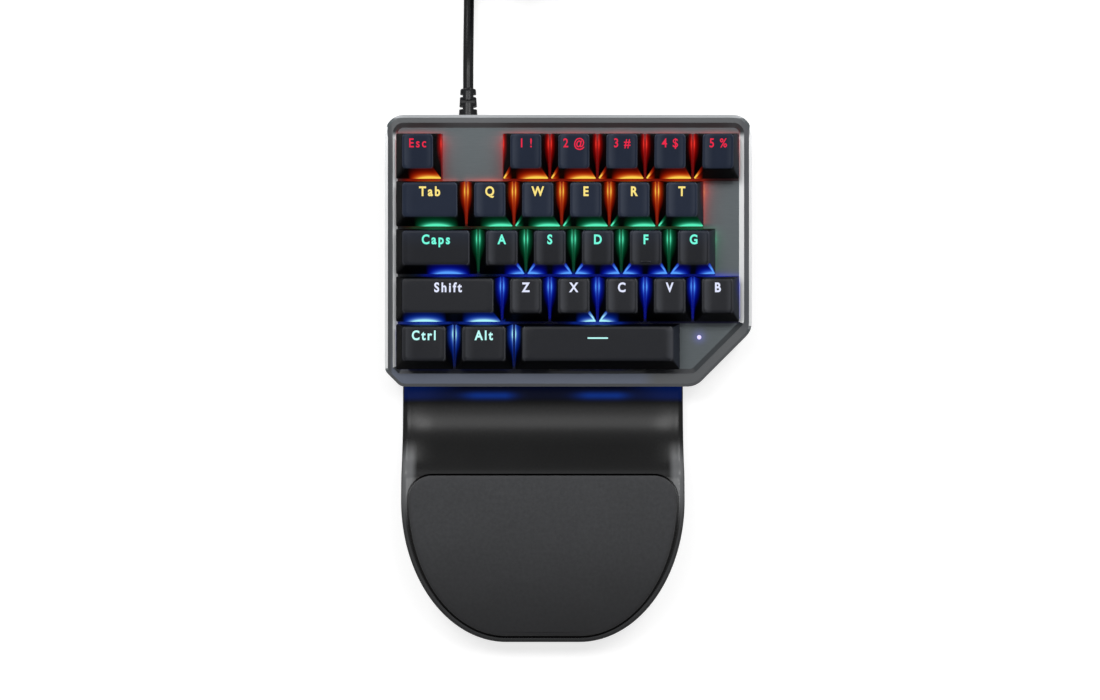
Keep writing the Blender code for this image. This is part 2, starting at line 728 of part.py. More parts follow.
def stabiliser_wire():
    """The bent wire that keeps the space key level. Its origin is on the bar's own axis."""
    back = WIRE_OFFSET + WIRE_END_OFFSET
    rise = KEY_TRAVEL / 2
    reach = STABILISER_SPACING / 2
    points = ((-reach, back, rise), (-reach, 0, 0), (reach, 0, 0), (reach, back, rise))
    wire = add(
        "space_key_wire",
        swept("space_key_wire", points, WIRE_RADIUS, 1, None),
        BRIGHT_STEEL,
        DECK,
        (SPACE_X, SPACE_Y - WIRE_OFFSET, WIRE_HEIGHT),
    )
    return wire


def pad_places():
    """Middle and half sizes of each rubber pad, seen from above."""
    side = -HOUSING_LEFT - PAD_SIDE_INSET
    long_way = (PAD_WIDTH / 2, PAD_LENGTH / 2)
    cross_way = long_way[::-1]
    rear = HOUSING_REAR - REAR_PAD_INSET
    rest_y = rest_front() + REST_PAD_INSET
    return {
        "rubber_pad_rear_left": (-side, rear, *long_way),
        "rubber_pad_rear_right": (side, rear, *long_way),
        "rubber_pad_front_left": (-side, HOUSING_FRONT + LEFT_PAD_INSET, *long_way),
        "rubber_pad_front_right": (side, HOUSING_FRONT + RIGHT_PAD_INSET, *long_way),
        "rubber_pad_rest_left": (rest_middle() - REST_PAD_REACH, rest_y, *cross_way),
        "rubber_pad_rest_right": (rest_middle() + REST_PAD_REACH, rest_y, *cross_way),
    }


def pads():
    for name, (x, y, half_x, half_y) in pad_places().items():
        top = UNDERSIDE + PAD_RECESS - SEAT_GAP
        pad = add(name, boxes(name, [box_round(x, y, half_x, half_y, 0, top)]), RUBBER)
        edge = pad.modifiers.new("edge", "BEVEL")
        edge.width = PAD_RECESS / 2
        edge.segments = 1


def pad_recesses(name, wanted):
    """Boxes cut out of an underside for the pads whose names hold one of the wanted words."""
    found = []
    for pad, (x, y, half_x, half_y) in pad_places().items():
        if any(word in pad for word in wanted):
            wide, deep = half_x + SEAT_GAP, half_y + SEAT_GAP
            found.append(box_round(x, y, wide, deep, UNDERSIDE - OVERRUN, UNDERSIDE + PAD_RECESS))
    return boxes(name, found)


def rest_middle():
    return HOUSING_LEFT + REST_MIDDLE_INSET


def rest_front():
    return -OVERALL_LENGTH / 2


def case_front():
    return (HOUSING_FRONT + CASE_INSET) * math.cos(DECK_TILT)


def rest_rear():
    """Where the rest's shell meets the case's front wall."""
    return case_front() - SEAT_GAP


def tilt_foot_axis():
    """World y and z of the tilt feet's pins."""
    y = (HOUSING_REAR - CASE_INSET) * math.cos(DECK_TILT) - TILT_FOOT_INSET
    return y, UNDERSIDE + SEAT_GAP + TILT_FOOT_RADIUS


def tilt_pockets():
    """Boxes of the tilt feet's pockets: the room to cut, and the box of walls that holds it."""
    axis_y, axis_z = tilt_foot_axis()
    rear = axis_y + TILT_FOOT_RADIUS + TILT_CLEARANCE
    front = axis_y - TILT_FOOT_LENGTH - POCKET_FINGER_ROOM
    roof = axis_z + TILT_FOOT_RADIUS + TILT_CLEARANCE
    rooms, walls = [], []
    for side in (-1, 1):
        x = side * TILT_FOOT_REACH
        half = TILT_FOOT_WIDTH / 2 + TILT_CLEARANCE
        rooms.append(((x - half, front, UNDERSIDE - OVERRUN), (x + half, rear, roof)))
        half += POCKET_WALL
        low = UNDERSIDE + CASE_FLOOR / 2
        high = roof + POCKET_ROOF
        walls.append(((x - half, front - POCKET_WALL, low), (x + half, rear + POCKET_WALL, high)))
    return rooms, walls


def tongue_box(grow):
    """The tongue's box, larger by grow at its sides, its end and its top."""
    half = TONGUE_WIDTH / 2 + grow
    low = (rest_middle() - half, case_front() - OVERRUN, UNDERSIDE - OVERRUN)
    high = (rest_middle() + half, case_front() + TONGUE_LENGTH + grow, UNDERSIDE + BASE_THICKNESS + grow)
    return low, high


def bottom_case():
    flatten = math.cos(DECK_TILT)
    walls_top = deck_height(HOUSING_REAR)
    outer = all_round(CASE_INSET)
    inner = all_round(CASE_INSET + CASE_WALL)
    rings = (
        housing_outline(all_round(CASE_INSET + CASE_CHAMFER), UNDERSIDE, flatten),
        housing_outline(outer, UNDERSIDE + CASE_CHAMFER, flatten),
        housing_outline(outer, walls_top, flatten),
        housing_outline(inner, walls_top, flatten),
        housing_outline(inner, UNDERSIDE + CASE_FLOOR, flatten),
    )
    case = add("bottom_case", loft("bottom_case", rings), SATIN_BLACK)
    rooms, walls = tilt_pockets()
    low, high = tongue_box(TONGUE_ROOM)
    low = (low[0] - CASE_FLOOR, case_front() + CASE_WALL / 2, UNDERSIDE + CASE_FLOOR / 2)
    high = (high[0] + CASE_FLOOR, high[1] + CASE_FLOOR, high[2] + CASE_FLOOR)
    fuse(case, boxes("case_blocks", [*walls, (low, high)]))
    posts, drills = [], []
    hole, counterbore = SCREW_RADIUS + SCREW_CLEARANCE, SCREW_HEAD_RADIUS + HEAD_CLEARANCE
    seat = SCREW_SEAT + SEAT_GAP
    for x, y in CASE_SCREWS:
        foot = deck_depth(y, UNDERSIDE + CASE_FLOOR / 2)
        neck = seat + POST_STEP
        top = -BOSS_DEPTH - SEAT_GAP
        steps = (
            (POST_RADIUS, foot), (POST_RADIUS, neck),
            (POST_NECK_RADIUS, neck), (POST_NECK_RADIUS, top),
        )
        posts.append(stepped_round("post", x, y, steps))
        below = deck_depth(y, UNDERSIDE - OVERRUN)
        steps = ((counterbore, below), (counterbore, seat), (hole, seat), (hole, top + OVERRUN))
        drills.append(stepped_round("drill", x, y, steps))
    fuse(case, joined("case_posts", posts), DECK)
    cut(case, joined("case_drills", drills), DECK)
    bosses, drills = [], []
    for x in rest_screw_columns():
        y = case_front() + REST_SCREW_INSET
        steps = ((REST_BOSS_RADIUS, high[2] - EMBED), (REST_BOSS_RADIUS, REST_BOSS_HEIGHT))
        bosses.append(stepped_round("boss", x, y, steps))
        top = UNDERSIDE + 2 * SEAT_GAP + SCREW_HEAD_HEIGHT + REST_SCREW_LENGTH
        drills.append(stepped_round("drill", x, y, ((hole, UNDERSIDE), (hole, top))))
    fuse(case, joined("rest_bosses", bosses))
    cut(case, joined("rest_drills", drills))
    cut(case, boxes("tongue_room", [tongue_box(TONGUE_ROOM)]))
    cut(case, boxes("tilt_foot_rooms", rooms))
    cut(case, pad_recesses("case_pad_recesses", ("rear", "front")))
    axis_y, axis_z = tilt_foot_axis()
    half = TILT_FOOT_WIDTH / 2 + TILT_PIN_LENGTH + TILT_CLEARANCE + SEAT_GAP
    radius = TILT_PIN_RADIUS + SEAT_GAP
    for side in (-1, 1):
        bore = stepped_round("pin_bore", 0, 0, ((radius, -half), (radius, half)))
        cut(case, bore, None, (side * TILT_FOOT_REACH, axis_y, axis_z), (0, math.pi / 2, 0))
    radius = RELIEF_NECK_RADIUS + SEAT_GAP
    wall = case_rear()
    bore = stepped_round("cable_bore", 0, 0, ((radius, -CASE_WALL - OVERRUN), (radius, OVERRUN)))
    cut(case, bore, None, (cable_x(), wall, CABLE_HEIGHT), (-math.pi / 2, 0, 0))
    reach = HOUSING_WIDTH
    top = -LIP_DEPTH - SEAT_GAP
    slab = boxes("deck_slab", [((-reach, -reach, top), (reach, reach, 2 * PLATE_HEIGHT))])
    cut(case, slab, DECK)


def case_rear():
    return (HOUSING_REAR - CASE_INSET) * math.cos(DECK_TILT)


def cable_x():
    return HOUSING_LEFT + CABLE_INSET


def rest_screw_columns():
    return rest_middle() - REST_SCREW_REACH, rest_middle() + REST_SCREW_REACH


def screw_mesh(length):
    """A screw with its head's underside at zero, pointing up."""
    steps = (
        (SCREW_HEAD_RADIUS, -SCREW_HEAD_HEIGHT), (SCREW_HEAD_RADIUS, 0),
        (SCREW_RADIUS, 0), (SCREW_RADIUS, length),
    )
    return stepped_round("screw", 0, 0, steps, SCREW_SIDES)


def screws():
    long_screw, short_screw = screw_mesh(CASE_SCREW_LENGTH), screw_mesh(REST_SCREW_LENGTH)
    for number, (x, y) in enumerate(CASE_SCREWS, 1):
        add(f"case_screw_{number}", long_screw, BRIGHT_STEEL, DECK, (x, y, SCREW_SEAT))
    height = UNDERSIDE + SEAT_GAP + SCREW_HEAD_HEIGHT
    places = [(x, case_front() + REST_SCREW_INSET) for x in rest_screw_columns()]
    places += [(x, rest_front() + FRONT_SCREW_INSET) for x in rest_screw_columns()]
    for number, (x, y) in enumerate(places, 1):
        add(f"rest_screw_{number}", short_screw, BRIGHT_STEEL, None, (x, y, height))


def tilt_feet():
    axis_y, axis_z = tilt_foot_axis()
    half = TILT_FOOT_WIDTH / 2
    for name, side in (("tilt_foot_left", -1), ("tilt_foot_right", 1)):
        barrel = [circle(0, 0, -half, TILT_FOOT_RADIUS), circle(0, 0, half, TILT_FOOT_RADIUS)]
        place = (side * TILT_FOOT_REACH, axis_y, axis_z)
        barrel = loft(name, barrel)
        barrel.transform(Matrix.Rotation(math.pi / 2, 4, "Y"))
        foot = add(name, barrel, SATIN_BLACK, None, place)
        reach = half + TILT_PIN_LENGTH
        pin = loft("pin", [circle(0, 0, -reach, TILT_PIN_RADIUS), circle(0, 0, reach, TILT_PIN_RADIUS)])
        pin.transform(Matrix.Rotation(math.pi / 2, 4, "Y"))
        thick = TILT_FOOT_RADIUS - TILT_FOOT_RADIUS / SCREW_SIDES
        leg = ((-half + OVERRUN / 2, -TILT_FOOT_LENGTH, -thick), (half - OVERRUN / 2, 0, thick))
        fuse(foot, boxes("leg", [leg]), None, place)
        fuse(foot, pin, None, place)


def smooth_share(value, start, end):
    share = max(0, min(1, (value - start) / (end - start)))
    return share * share * (3 - 2 * share)


def rest_top(y):
    """Height of the rest's top along its middle: a low neck, a rise, then a long crown."""
    crest = rest_front() + CREST_INSET
    fall = (CREST_HEIGHT - FRONT_HEIGHT) / CREST_INSET**2
    crown = CREST_HEIGHT - fall * (y - crest) ** 2
    start = rest_rear() - NECK_LENGTH
    share = smooth_share(start - y, 0, RISE_LENGTH)
    return NECK_HEIGHT + (crown - NECK_HEIGHT) * share


def rest_half_outline(rear, drawn_in, front_inset):
    """Points of the rest's right half as (half width, y, normal), from its rear to its front."""
    points = []
    half = REST_FLAT_HALF_WIDTH + REST_CURVE_WIDTH
    bend = rest_front() + REST_CURVE_LENGTH
    for i in range(STRAIGHT_STATION_COUNT):
        y = rear + (bend - rear) * i / STRAIGHT_STATION_COUNT
        points.append((half - drawn_in, y, Vector((1, 0))))
    for i in range(CURVE_STATION_COUNT):
        angle = math.pi / 2 * i / (CURVE_STATION_COUNT - 1)
        x = REST_FLAT_HALF_WIDTH + (REST_CURVE_WIDTH - drawn_in) * math.cos(angle)
        y = bend - (REST_CURVE_LENGTH - front_inset) * math.sin(angle)
        normal = Vector((math.cos(angle) / REST_CURVE_WIDTH, -math.sin(angle) / REST_CURVE_LENGTH))
        points.append((x, y, normal.normalized()))
    return points


def mirrored_loft(name, columns, closed):
    """A surface from columns of (x, y, z) on the right side, mirrored to the left about the rest's
    middle. Each column runs from its outer foot to its inmost point. A closed one gets a floor."""
    bm = bmesh.new()
    middle = rest_middle()
    right = [[bm.verts.new((middle + x, y, z)) for x, y, z in column] for column in columns]
    left = [[bm.verts.new((middle - x, y, z)) for x, y, z in column] for column in columns]
    rows = [a + b[::-1] for a, b in zip(right, left)]
    for near, far in zip(rows, rows[1:]):
        for i in range(len(near) - 1):
            bm.faces.new((near[i], near[i + 1], far[i + 1], far[i]))
        if closed:
            bm.faces.new((near[-1], near[0], far[0], far[-1]))
    last = rows[-1]
    size = len(last)
    for i in range(size // 2 - 1):
        bm.faces.new((last[i], last[i + 1], last[size - 2 - i], last[size - 1 - i]))
    if closed:
        first = rows[0]
        for i in range(size // 2 - 1):
            bm.faces.new((first[i], first[i + 1], first[size - 2 - i], first[size - 1 - i]))
    return to_mesh(bm, name)


def palm_rest():
    round_shares = (0, 0.3, 1)
    columns = []
    for half, y, normal in rest_half_outline(rest_rear(), 0, 0):
        top = rest_top(y)
        column = [(half, y, REST_SKIRT)]
        for share in round_shares:
            inwards = REST_EDGE_RADIUS * share
            drop = REST_EDGE_RADIUS * (1 - math.sqrt(1 - (1 - share) ** 2))
            x, place = half - normal.x * inwards, y - normal.y * inwards
            column.append((x, place, rest_top(place) - drop if share else top - REST_EDGE_RADIUS))
        columns.append(column)
    shell = add("palm_rest", mirrored_loft("palm_rest", columns, closed=False), SATIN_BLACK)
    wall = shell.modifiers.new("wall", "SOLIDIFY")
    wall.thickness = REST_WALL
    wall.offset = -1
    bosses, drills = [], []
    hole = SCREW_RADIUS + SCREW_CLEARANCE
    y = rest_front() + FRONT_SCREW_INSET
    low = UNDERSIDE + BASE_THICKNESS + SEAT_GAP
    high = rest_top(y) - REST_WALL + EMBED
    for x in rest_screw_columns():
        bosses.append(stepped_round("boss", x, y, ((REST_BOSS_RADIUS, low), (REST_BOSS_RADIUS, high))))
        top = UNDERSIDE + 2 * SEAT_GAP + SCREW_HEAD_HEIGHT + REST_SCREW_LENGTH
        drills.append(stepped_round("drill", x, y, ((hole, low - OVERRUN), (hole, top))))
    fuse(shell, joined("shell_bosses", bosses))
    cut(shell, joined("shell_drills", drills))
    cut(shell, pad_solid("pad_recess", 0, -PAD_SINK, REST_EDGE_RADIUS))


def pad_half_outline(drawn_in):
    """The pad's right half as (half width, y): a straight rear edge, round corners, then the rest's
    own outline drawn in."""
    bend = rest_front() + REST_CURVE_LENGTH
    rear = bend + PAD_STRAIGHT_LENGTH + PAD_CORNER_RADIUS - drawn_in
    half = REST_FLAT_HALF_WIDTH + REST_CURVE_WIDTH - PAD_EDGE_INSET - drawn_in
    radius = PAD_CORNER_RADIUS - drawn_in
    points = []
    for i in range(CURVE_STATION_COUNT // 2 + 1):
        angle = math.pi / 2 * i / (CURVE_STATION_COUNT // 2)
        points.append((half - radius * (1 - math.sin(angle)), rear - radius * (1 - math.cos(angle))))
    sides, front = PAD_EDGE_INSET + drawn_in, PAD_FRONT_INSET + drawn_in
    for x, y, _ in rest_half_outline(rear - radius, sides, front):
        if y < rear - radius - LEAST_RADIUS:
            points.append((x, y))
    return points


def pad_solid(name, drawn_in, low, high, crown=0):
    """A solid in the pad's outline between two heights measured from the rest's top."""
    outer = pad_half_outline(drawn_in)
    inner = pad_half_outline(drawn_in + PAD_EDGE_ROUND)
    columns = []
    for (x, y), (inner_x, inner_y) in zip(outer, inner):
        column = [(x, y, rest_top(y) + low), (x, y, rest_top(y) + high)]
        if crown:
            column.append((inner_x, inner_y, rest_top(inner_y) + high + crown / 2))
            column.append((inner_x / 2, inner_y, rest_top(inner_y) + high + crown))
        columns.append(column)
    return mirrored_loft(name, columns, closed=True)


def palm_pad():
    add("palm_pad", pad_solid("palm_pad", PAD_GROOVE, SEAT_GAP - PAD_SINK, 0, PAD_CROWN), PAD_CLOTH)


def rest_base():
    """The plate that closes the rest from below, with the tongue that reaches under the case."""
    gap = REST_WALL + BASE_CLEARANCE
    half = [(x, y) for x, y, _ in rest_half_outline(rest_rear(), gap, gap)]
    middle = rest_middle()
    start = case_front() + TONGUE_LENGTH
    outline = [(middle + TONGUE_WIDTH / 2, start)]
    outline += [(middle + TONGUE_WIDTH / 2, half[0][1])] + [(middle + x, y) for x, y in half]
    outline += [(2 * middle - x, y) for x, y in outline[::-1]]
    rings = [[(x, y, z) for x, y in outline] for z in (UNDERSIDE, UNDERSIDE + BASE_THICKNESS)]
    base = add("palm_rest_base", loft("palm_rest_base", rings), SATIN_BLACK)
    drills = []
    hole, counterbore = SCREW_RADIUS + SCREW_CLEARANCE, SCREW_HEAD_RADIUS + HEAD_CLEARANCE
    seat = UNDERSIDE + 2 * SEAT_GAP + SCREW_HEAD_HEIGHT
    top = UNDERSIDE + BASE_THICKNESS + OVERRUN
    steps = ((counterbore, UNDERSIDE - OVERRUN), (counterbore, seat), (hole, seat), (hole, top))
    for x in rest_screw_columns():
        for y in (case_front() + REST_SCREW_INSET, rest_front() + FRONT_SCREW_INSET):
            drills.append(stepped_round("drill", x, y, steps))
    cut(base, joined("base_drills", drills))
    cut(base, pad_recesses("base_pad_recesses", ("rest",)))


def strain_relief():
    """A turned rubber sleeve, flanged inside the case, with notches taken in turn from its sides and
    from its top and bottom."""
    inner = -CASE_WALL - SEAT_GAP
    seat = SEAT_GAP
    end = RELIEF_LENGTH
    connector = (HOUSING_REAR - CONNECTOR_INSET) * math.cos(DECK_TILT) + 2 * SEAT_GAP
    stub = connector - case_rear() + CABLE_HEIGHT * math.sin(DECK_TILT)
    steps = (
        (CABLE_RADIUS, stub),
        (CABLE_RADIUS, inner - RELIEF_FLANGE),
        (RELIEF_FLANGE_RADIUS, inner - RELIEF_FLANGE),
        (RELIEF_FLANGE_RADIUS, inner),
        (RELIEF_NECK_RADIUS, inner),
        (RELIEF_NECK_RADIUS, seat),
        (RELIEF_BASE_RADIUS, seat),
        (RELIEF_END_RADIUS, end),
    )
    place, turn = (cable_x(), case_rear(), CABLE_HEIGHT), (-math.pi / 2, 0, 0)
    relief = add("strain_relief", stepped_round("strain_relief", 0, 0, steps), RUBBER, None, place, turn)
    notches = []
    for number in range(RELIEF_NOTCH_COUNT):
        middle = CASE_INSET + (number + 1) * RELIEF_NOTCH_PITCH
        low, high = middle - RELIEF_NOTCH / 2, middle + RELIEF_NOTCH / 2
        far = 2 * RELIEF_BASE_RADIUS
        for side in (-1, 1):
            near, out = sorted((side * RELIEF_CORE, side * far))
            if number % 2:
                notches.append(((-far, near, low), (far, out, high)))
            else:
                notches.append(((near, -far, low), (out, far, high)))
    cut(relief, boxes("notches", notches), None, place, turn)


def coil_radius(turn, turns_a_layer, pitch, inner):
    """Distance from the coil's middle after so many turns: in, out, in and out again."""
    layer, part = divmod(turn / turns_a_layer, 1)
    share = 1 - part if layer % 2 == 0 else part
    return inner + pitch * turns_a_layer * share


def coil_height(turn, turns_a_layer, pitch, start, last_step):
    """Height of the line: it climbs in the half turn in which the spiral reverses."""
    height = start
    for layer in range(1, COIL_LAYERS + 1):
        step = pitch if layer < COIL_LAYERS else last_step
        reversal = layer * turns_a_layer
        height += step * max(0, min(1, (turn - reversal) * 2 + 1 / 2))
    return height


def lead_points():
    """The free stretch: out of the sleeve, down to the table, then straight back to the coil."""
    start = case_rear() + RELIEF_LENGTH + SEAT_GAP
    end = case_rear() + RELIEF_LENGTH + COIL_DISTANCE
    rest_height = coil_start_height()
    drop = CABLE_HEIGHT - rest_height
    drop_start_share, drop_end_share = 0.08, 0.62
    points = []
    count = 9
    for i in range(count):
        share = i / (count - 1)
        y = start + (end - start) * share
        fallen = smooth_share(share, drop_start_share, drop_end_share)
        points.append((cable_x(), y, CABLE_HEIGHT - drop * fallen))
    return points


def coil_start_height():
    return TIE_THICKNESS + TIE_GAP + CABLE_RADIUS + SEAT_GAP / 3


def length_of(points):
    return sum((Vector(b) - Vector(a)).length for a, b in zip(points, points[1:]))


def coil_points():
    """The coil's line, its middle, its radii and the direction in which it ends. The number of turns
    follows from the cable's length."""
    pitch = 2 * CABLE_RADIUS + COIL_GAP
    lead = lead_points()
    tail_straight = 2 * CABLE_RADIUS
    tail = math.pi / 2 * TAIL_RADIUS + tail_straight
    around = 2 * math.pi * COIL_MEAN_RADIUS
    quarter = 1 / 4
    turns = round(((CABLE_LENGTH - length_of(lead) - tail) / around - quarter) * COIL_POINTS) / COIL_POINTS
    per_layer = turns / COIL_LAYERS
    inner = COIL_MEAN_RADIUS - pitch * per_layer / 2
    outer = COIL_MEAN_RADIUS + pitch * per_layer / 2
    x, y, start = lead[-1]
    middle = Vector((x + outer, y + SEAT_GAP, 0))
    last_step = CABLE_RADIUS + 2 * TIE_GAP + TIE_THICKNESS + PLUG_HEIGHT / 2
    count = round((turns + quarter) * COIL_POINTS)
    points = []
    for i in range(count + 1):
        turn = i / COIL_POINTS
        radius = coil_radius(turn, per_layer, pitch, inner)
        if turn > turns:
            radius = outer - pitch * (turn - turns)
        angle = math.pi - 2 * math.pi * turn
        height = coil_height(turn, per_layer, pitch, start, last_step)
        points.append(middle + Vector((radius * math.cos(angle), radius * math.sin(angle), height)))
    out = Vector((math.cos(angle), math.sin(angle), 0))
    onwards = Vector((math.sin(angle), -math.cos(angle), 0))
    centre = points[-1] - out * TAIL_RADIUS
    for i in range(1, TAIL_POINTS + 1):
        turned = math.pi / 2 * i / TAIL_POINTS
        points.append(centre + TAIL_RADIUS * (out * math.cos(turned) + onwards * math.sin(turned)))
    points.append(points[-1] - out * tail_straight)
    return points, middle, (inner, outer), -out, angle


def least_gap(points, radius):
    """The tube's least gap to itself, between points over half a turn apart along it."""
    apart = COIL_POINTS // 2
    least = math.inf
    for i, point in enumerate(points):
        for j in range(i + apart, len(points) - 1):
            start, end = points[j], points[j + 1]
            along = end - start
            share = max(0, min(1, (point - start).dot(along) / along.length_squared))
            least = min(least, (point - start - along * share).length)
    return least - 2 * radius


def cable():
    lead = lead_points()
    swept("cable_lead", lead, CABLE_RADIUS, 2, RUBBER)
    points, middle, (inner, outer), forward, end_angle = coil_points()
    swept("cable_coil", points, CABLE_RADIUS, 1, RUBBER)
    whole = length_of(lead) + length_of(points)
    print(f"cable {whole:.3f} m, least gap in the coil {least_gap(points, CABLE_RADIUS) * 1000:.2f} mm")
    tie(middle, inner, outer, lead[-1][2], end_angle)
    plug(points[-1], forward)


def tie(middle, inner, outer, start, end_angle):
    """A band round the bundle of turns, on the side away from the plug."""
    angle = end_angle + 2 * math.pi * TIE_TURN_SHARE
    pitch = 2 * CABLE_RADIUS + COIL_GAP
    low = start - CABLE_RADIUS - TIE_GAP
    high = start + pitch * (COIL_LAYERS - 1) + CABLE_RADIUS + TIE_GAP
    near, far = inner - CABLE_RADIUS - TIE_SIDE_GAP, outer + CABLE_RADIUS + TIE_SIDE_GAP
    inner_corners = ((near, low), (far, low), (far, high), (near, high))
    outer_corners = inset(inner_corners, [-TIE_THICKNESS] * len(inner_corners))
    inner_ring = rounded(inner_corners, [TIE_CORNER] * len(inner_corners))
    outer_ring = rounded(outer_corners, [TIE_CORNER + TIE_THICKNESS] * len(outer_corners))
    half = TIE_WIDTH / 2
    bm = bmesh.new()
    rings = []
    for ring, side in ((inner_ring, -half), (outer_ring, -half), (outer_ring, half), (inner_ring, half)):
        rings.append([bm.verts.new((x, side, z)) for x, z in ring])
    count = len(inner_ring)
    for a, b in zip(rings, rings[1:] + rings[:1]):
        for i in range(count):
            j = (i + 1) % count
            bm.faces.new((a[i], a[j], b[j], b[i]))
    add("cable_tie", to_mesh(bm, "cable_tie"), RUBBER, None, middle, (0, 0, angle))


def plug(start, forward):
    """The plug lies on the coil, its axis along forward."""
    turn = (0, 0, math.atan2(-forward.x, forward.y))

    def section(width, height, corner, y):
        corners = [(i * width / 2, j * height / 2) for i, j in ((-1, -1), (1, -1), (1, 1), (-1, 1))]
        return [(x, y, z) for x, z in rounded(corners, [corner] * len(corners))]

    near, far = SEAT_GAP + PLUG_NOSE_LENGTH, SEAT_GAP + PLUG_NOSE_LENGTH + PLUG_LENGTH
    rings = (
        section(PLUG_NOSE_WIDTH, PLUG_NOSE_HEIGHT, PLUG_CORNER, SEAT_GAP),
        section(PLUG_NOSE_WIDTH, PLUG_NOSE_HEIGHT, PLUG_CORNER, near),
        section(PLUG_WIDTH, PLUG_HEIGHT, PLUG_CORNER, near + PLUG_NOSE_LENGTH / 2),
        section(PLUG_WIDTH, PLUG_HEIGHT, PLUG_CORNER, far),
    )
    add("usb_plug_body", loft("usb_plug_body", rings), RUBBER, None, start, turn)
    low, high = far + SEAT_GAP, far + SEAT_GAP + SHELL_LENGTH
    rings = [section(SHELL_WIDTH, SHELL_HEIGHT, SHELL_CORNER, y) for y in (low, high)]
    shell = add("usb_plug_shell", loft("usb_plug_shell", rings), BRIGHT_STEEL, None, start, turn)
    half, top = SHELL_WIDTH / 2 - SHELL_WALL, SHELL_HEIGHT / 2 - SHELL_WALL
    mouth = ((-half, high - SHELL_MOUTH, top - SHELL_TONGUE), (half, high + OVERRUN, top))
    cut(shell, boxes("plug_mouth", [mouth]), None, start, turn)


top_cover()
circuit_board()
electronics()
keys()
stabiliser_wire()
bottom_case()
pads()
screws()
tilt_feet()
palm_rest()
palm_pad()
rest_base()
strain_relief()
cable()
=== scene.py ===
"""A one-handed gaming keypad as it looks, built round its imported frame: metres, +Z up, +Y to the rear.

The deck is the plate with all that sits on it. It slopes to the front, and a place on it is given by x, y and
the height over the plate, in the deck's own directions.
"""

from functools import reduce
from math import atan2, copysign, cos, pi, radians, sin

import bmesh
import bpy
from mathutils import Matrix, Vector


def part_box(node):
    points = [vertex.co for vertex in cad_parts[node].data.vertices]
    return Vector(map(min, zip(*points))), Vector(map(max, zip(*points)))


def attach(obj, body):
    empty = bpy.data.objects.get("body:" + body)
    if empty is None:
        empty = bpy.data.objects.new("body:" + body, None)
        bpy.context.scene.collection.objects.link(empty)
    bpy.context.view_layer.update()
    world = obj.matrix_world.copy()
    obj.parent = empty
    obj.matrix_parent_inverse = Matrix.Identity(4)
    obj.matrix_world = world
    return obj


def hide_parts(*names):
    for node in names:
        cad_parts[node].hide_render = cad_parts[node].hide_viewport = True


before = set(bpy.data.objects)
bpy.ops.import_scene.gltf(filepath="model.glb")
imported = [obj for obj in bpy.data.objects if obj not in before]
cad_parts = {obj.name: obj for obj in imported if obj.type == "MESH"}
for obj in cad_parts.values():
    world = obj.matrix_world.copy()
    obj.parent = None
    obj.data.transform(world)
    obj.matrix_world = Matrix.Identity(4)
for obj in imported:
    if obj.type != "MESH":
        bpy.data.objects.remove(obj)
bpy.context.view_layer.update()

# Deck, as in the part's source
DECK_TILT = radians(4.0)
PLATE_HEIGHT = 0.0155
KEY_PITCH = 0.01905
HOUSING_WIDTH = 0.1474125
HOUSING_LENGTH = 0.10915
REST_LENGTH = 0.1023
CASE_INSET = 0.0008
FIELD_SIDE_INSET, FIELD_REAR_INSET = 0.0043, 0.0074
OVERALL_LENGTH = HOUSING_LENGTH * cos(DECK_TILT) + REST_LENGTH
HOUSING_LEFT = -HOUSING_WIDTH / 2
HOUSING_REAR = OVERALL_LENGTH / 2 / cos(DECK_TILT)
HOUSING_FRONT = HOUSING_REAR - HOUSING_LENGTH
FIELD_LEFT = HOUSING_LEFT + FIELD_SIDE_INSET
FIELD_REAR = HOUSING_REAR - FIELD_REAR_INSET
CASE_FRONT = (HOUSING_FRONT + CASE_INSET) * cos(DECK_TILT)
CASE_REAR = (HOUSING_REAR - CASE_INSET) * cos(DECK_TILT)
DECK = Matrix.Translation((0, 0, PLATE_HEIGHT)) @ Matrix.Rotation(DECK_TILT, 4, "X")
DECK_NORMAL = DECK.to_3x3() @ Vector((0, 0, 1))

# Palm rest and its pad, on the main sizes of the part's source
REST_MIDDLE = HOUSING_LEFT + 0.06345
REST_FRONT = -OVERALL_LENGTH / 2
REST_REAR = CASE_FRONT - 0.0003
REST_FLAT, REST_CURVE_X, REST_CURVE_Y = 0.0147, 0.0420, 0.0570
REST_BEND = REST_FRONT + REST_CURVE_Y
REST_SKIRT, REST_EDGE, REST_WALL = 0.0023, 0.0026, 0.0025
NECK_HEIGHT, NECK_LENGTH = 0.0093, 0.0110
RISE_START, RISE_LENGTH, RISE_BEND, RISE_CREST = 0.0042, 0.0310, 0.0170, 0.0045
CREST_HEIGHT, CREST_INSET, FRONT_HEIGHT = 0.0215, 0.0440, 0.0150
REST_SAG, REST_SAG_WIDTH, REST_SAG_START, REST_SAG_END = 0.0013, 0.0125, -0.0405, -0.0320
PAD_EDGE, PAD_FRONT, PAD_CORNER, PAD_SINK, PAD_GROOVE = 0.0024, 0.0017, 0.0100, 0.0012, 0.0008
PAD_ROLL, PAD_RISE = 0.0016, 0.0010
RECESS_SINK, RECESS_REACH = 0.0020, 0.0060


def key_run(start, legends):
    """Keys one pitch wide, side by side. Each is named by its legend's first sign."""
    return [(legend[0].lower(), start + i, 1, legend) for i, legend in enumerate(legends)]


# Key name, left edge and width in pitches, and legend
ROWS = (
    (("esc", 0, 1, "Esc"), *key_run(2.25, ("1 !", "2 @", "3 #", "4 $", "5 %"))),
    (("tab", 0, 1.5, "Tab"), *key_run(1.5, "QWERT")),
    (("caps", 0, 1.75, "Caps"), *key_run(1.75, "ASDFG")),
    (("shift", 0, 2.25, "Shift"), *key_run(2.25, "ZXCVB")),
    (("ctrl", 0, 1.25, "Ctrl"), ("alt", 1.25, 1.25, "Alt"), ("space", 2.5, 3.5, "")),
)

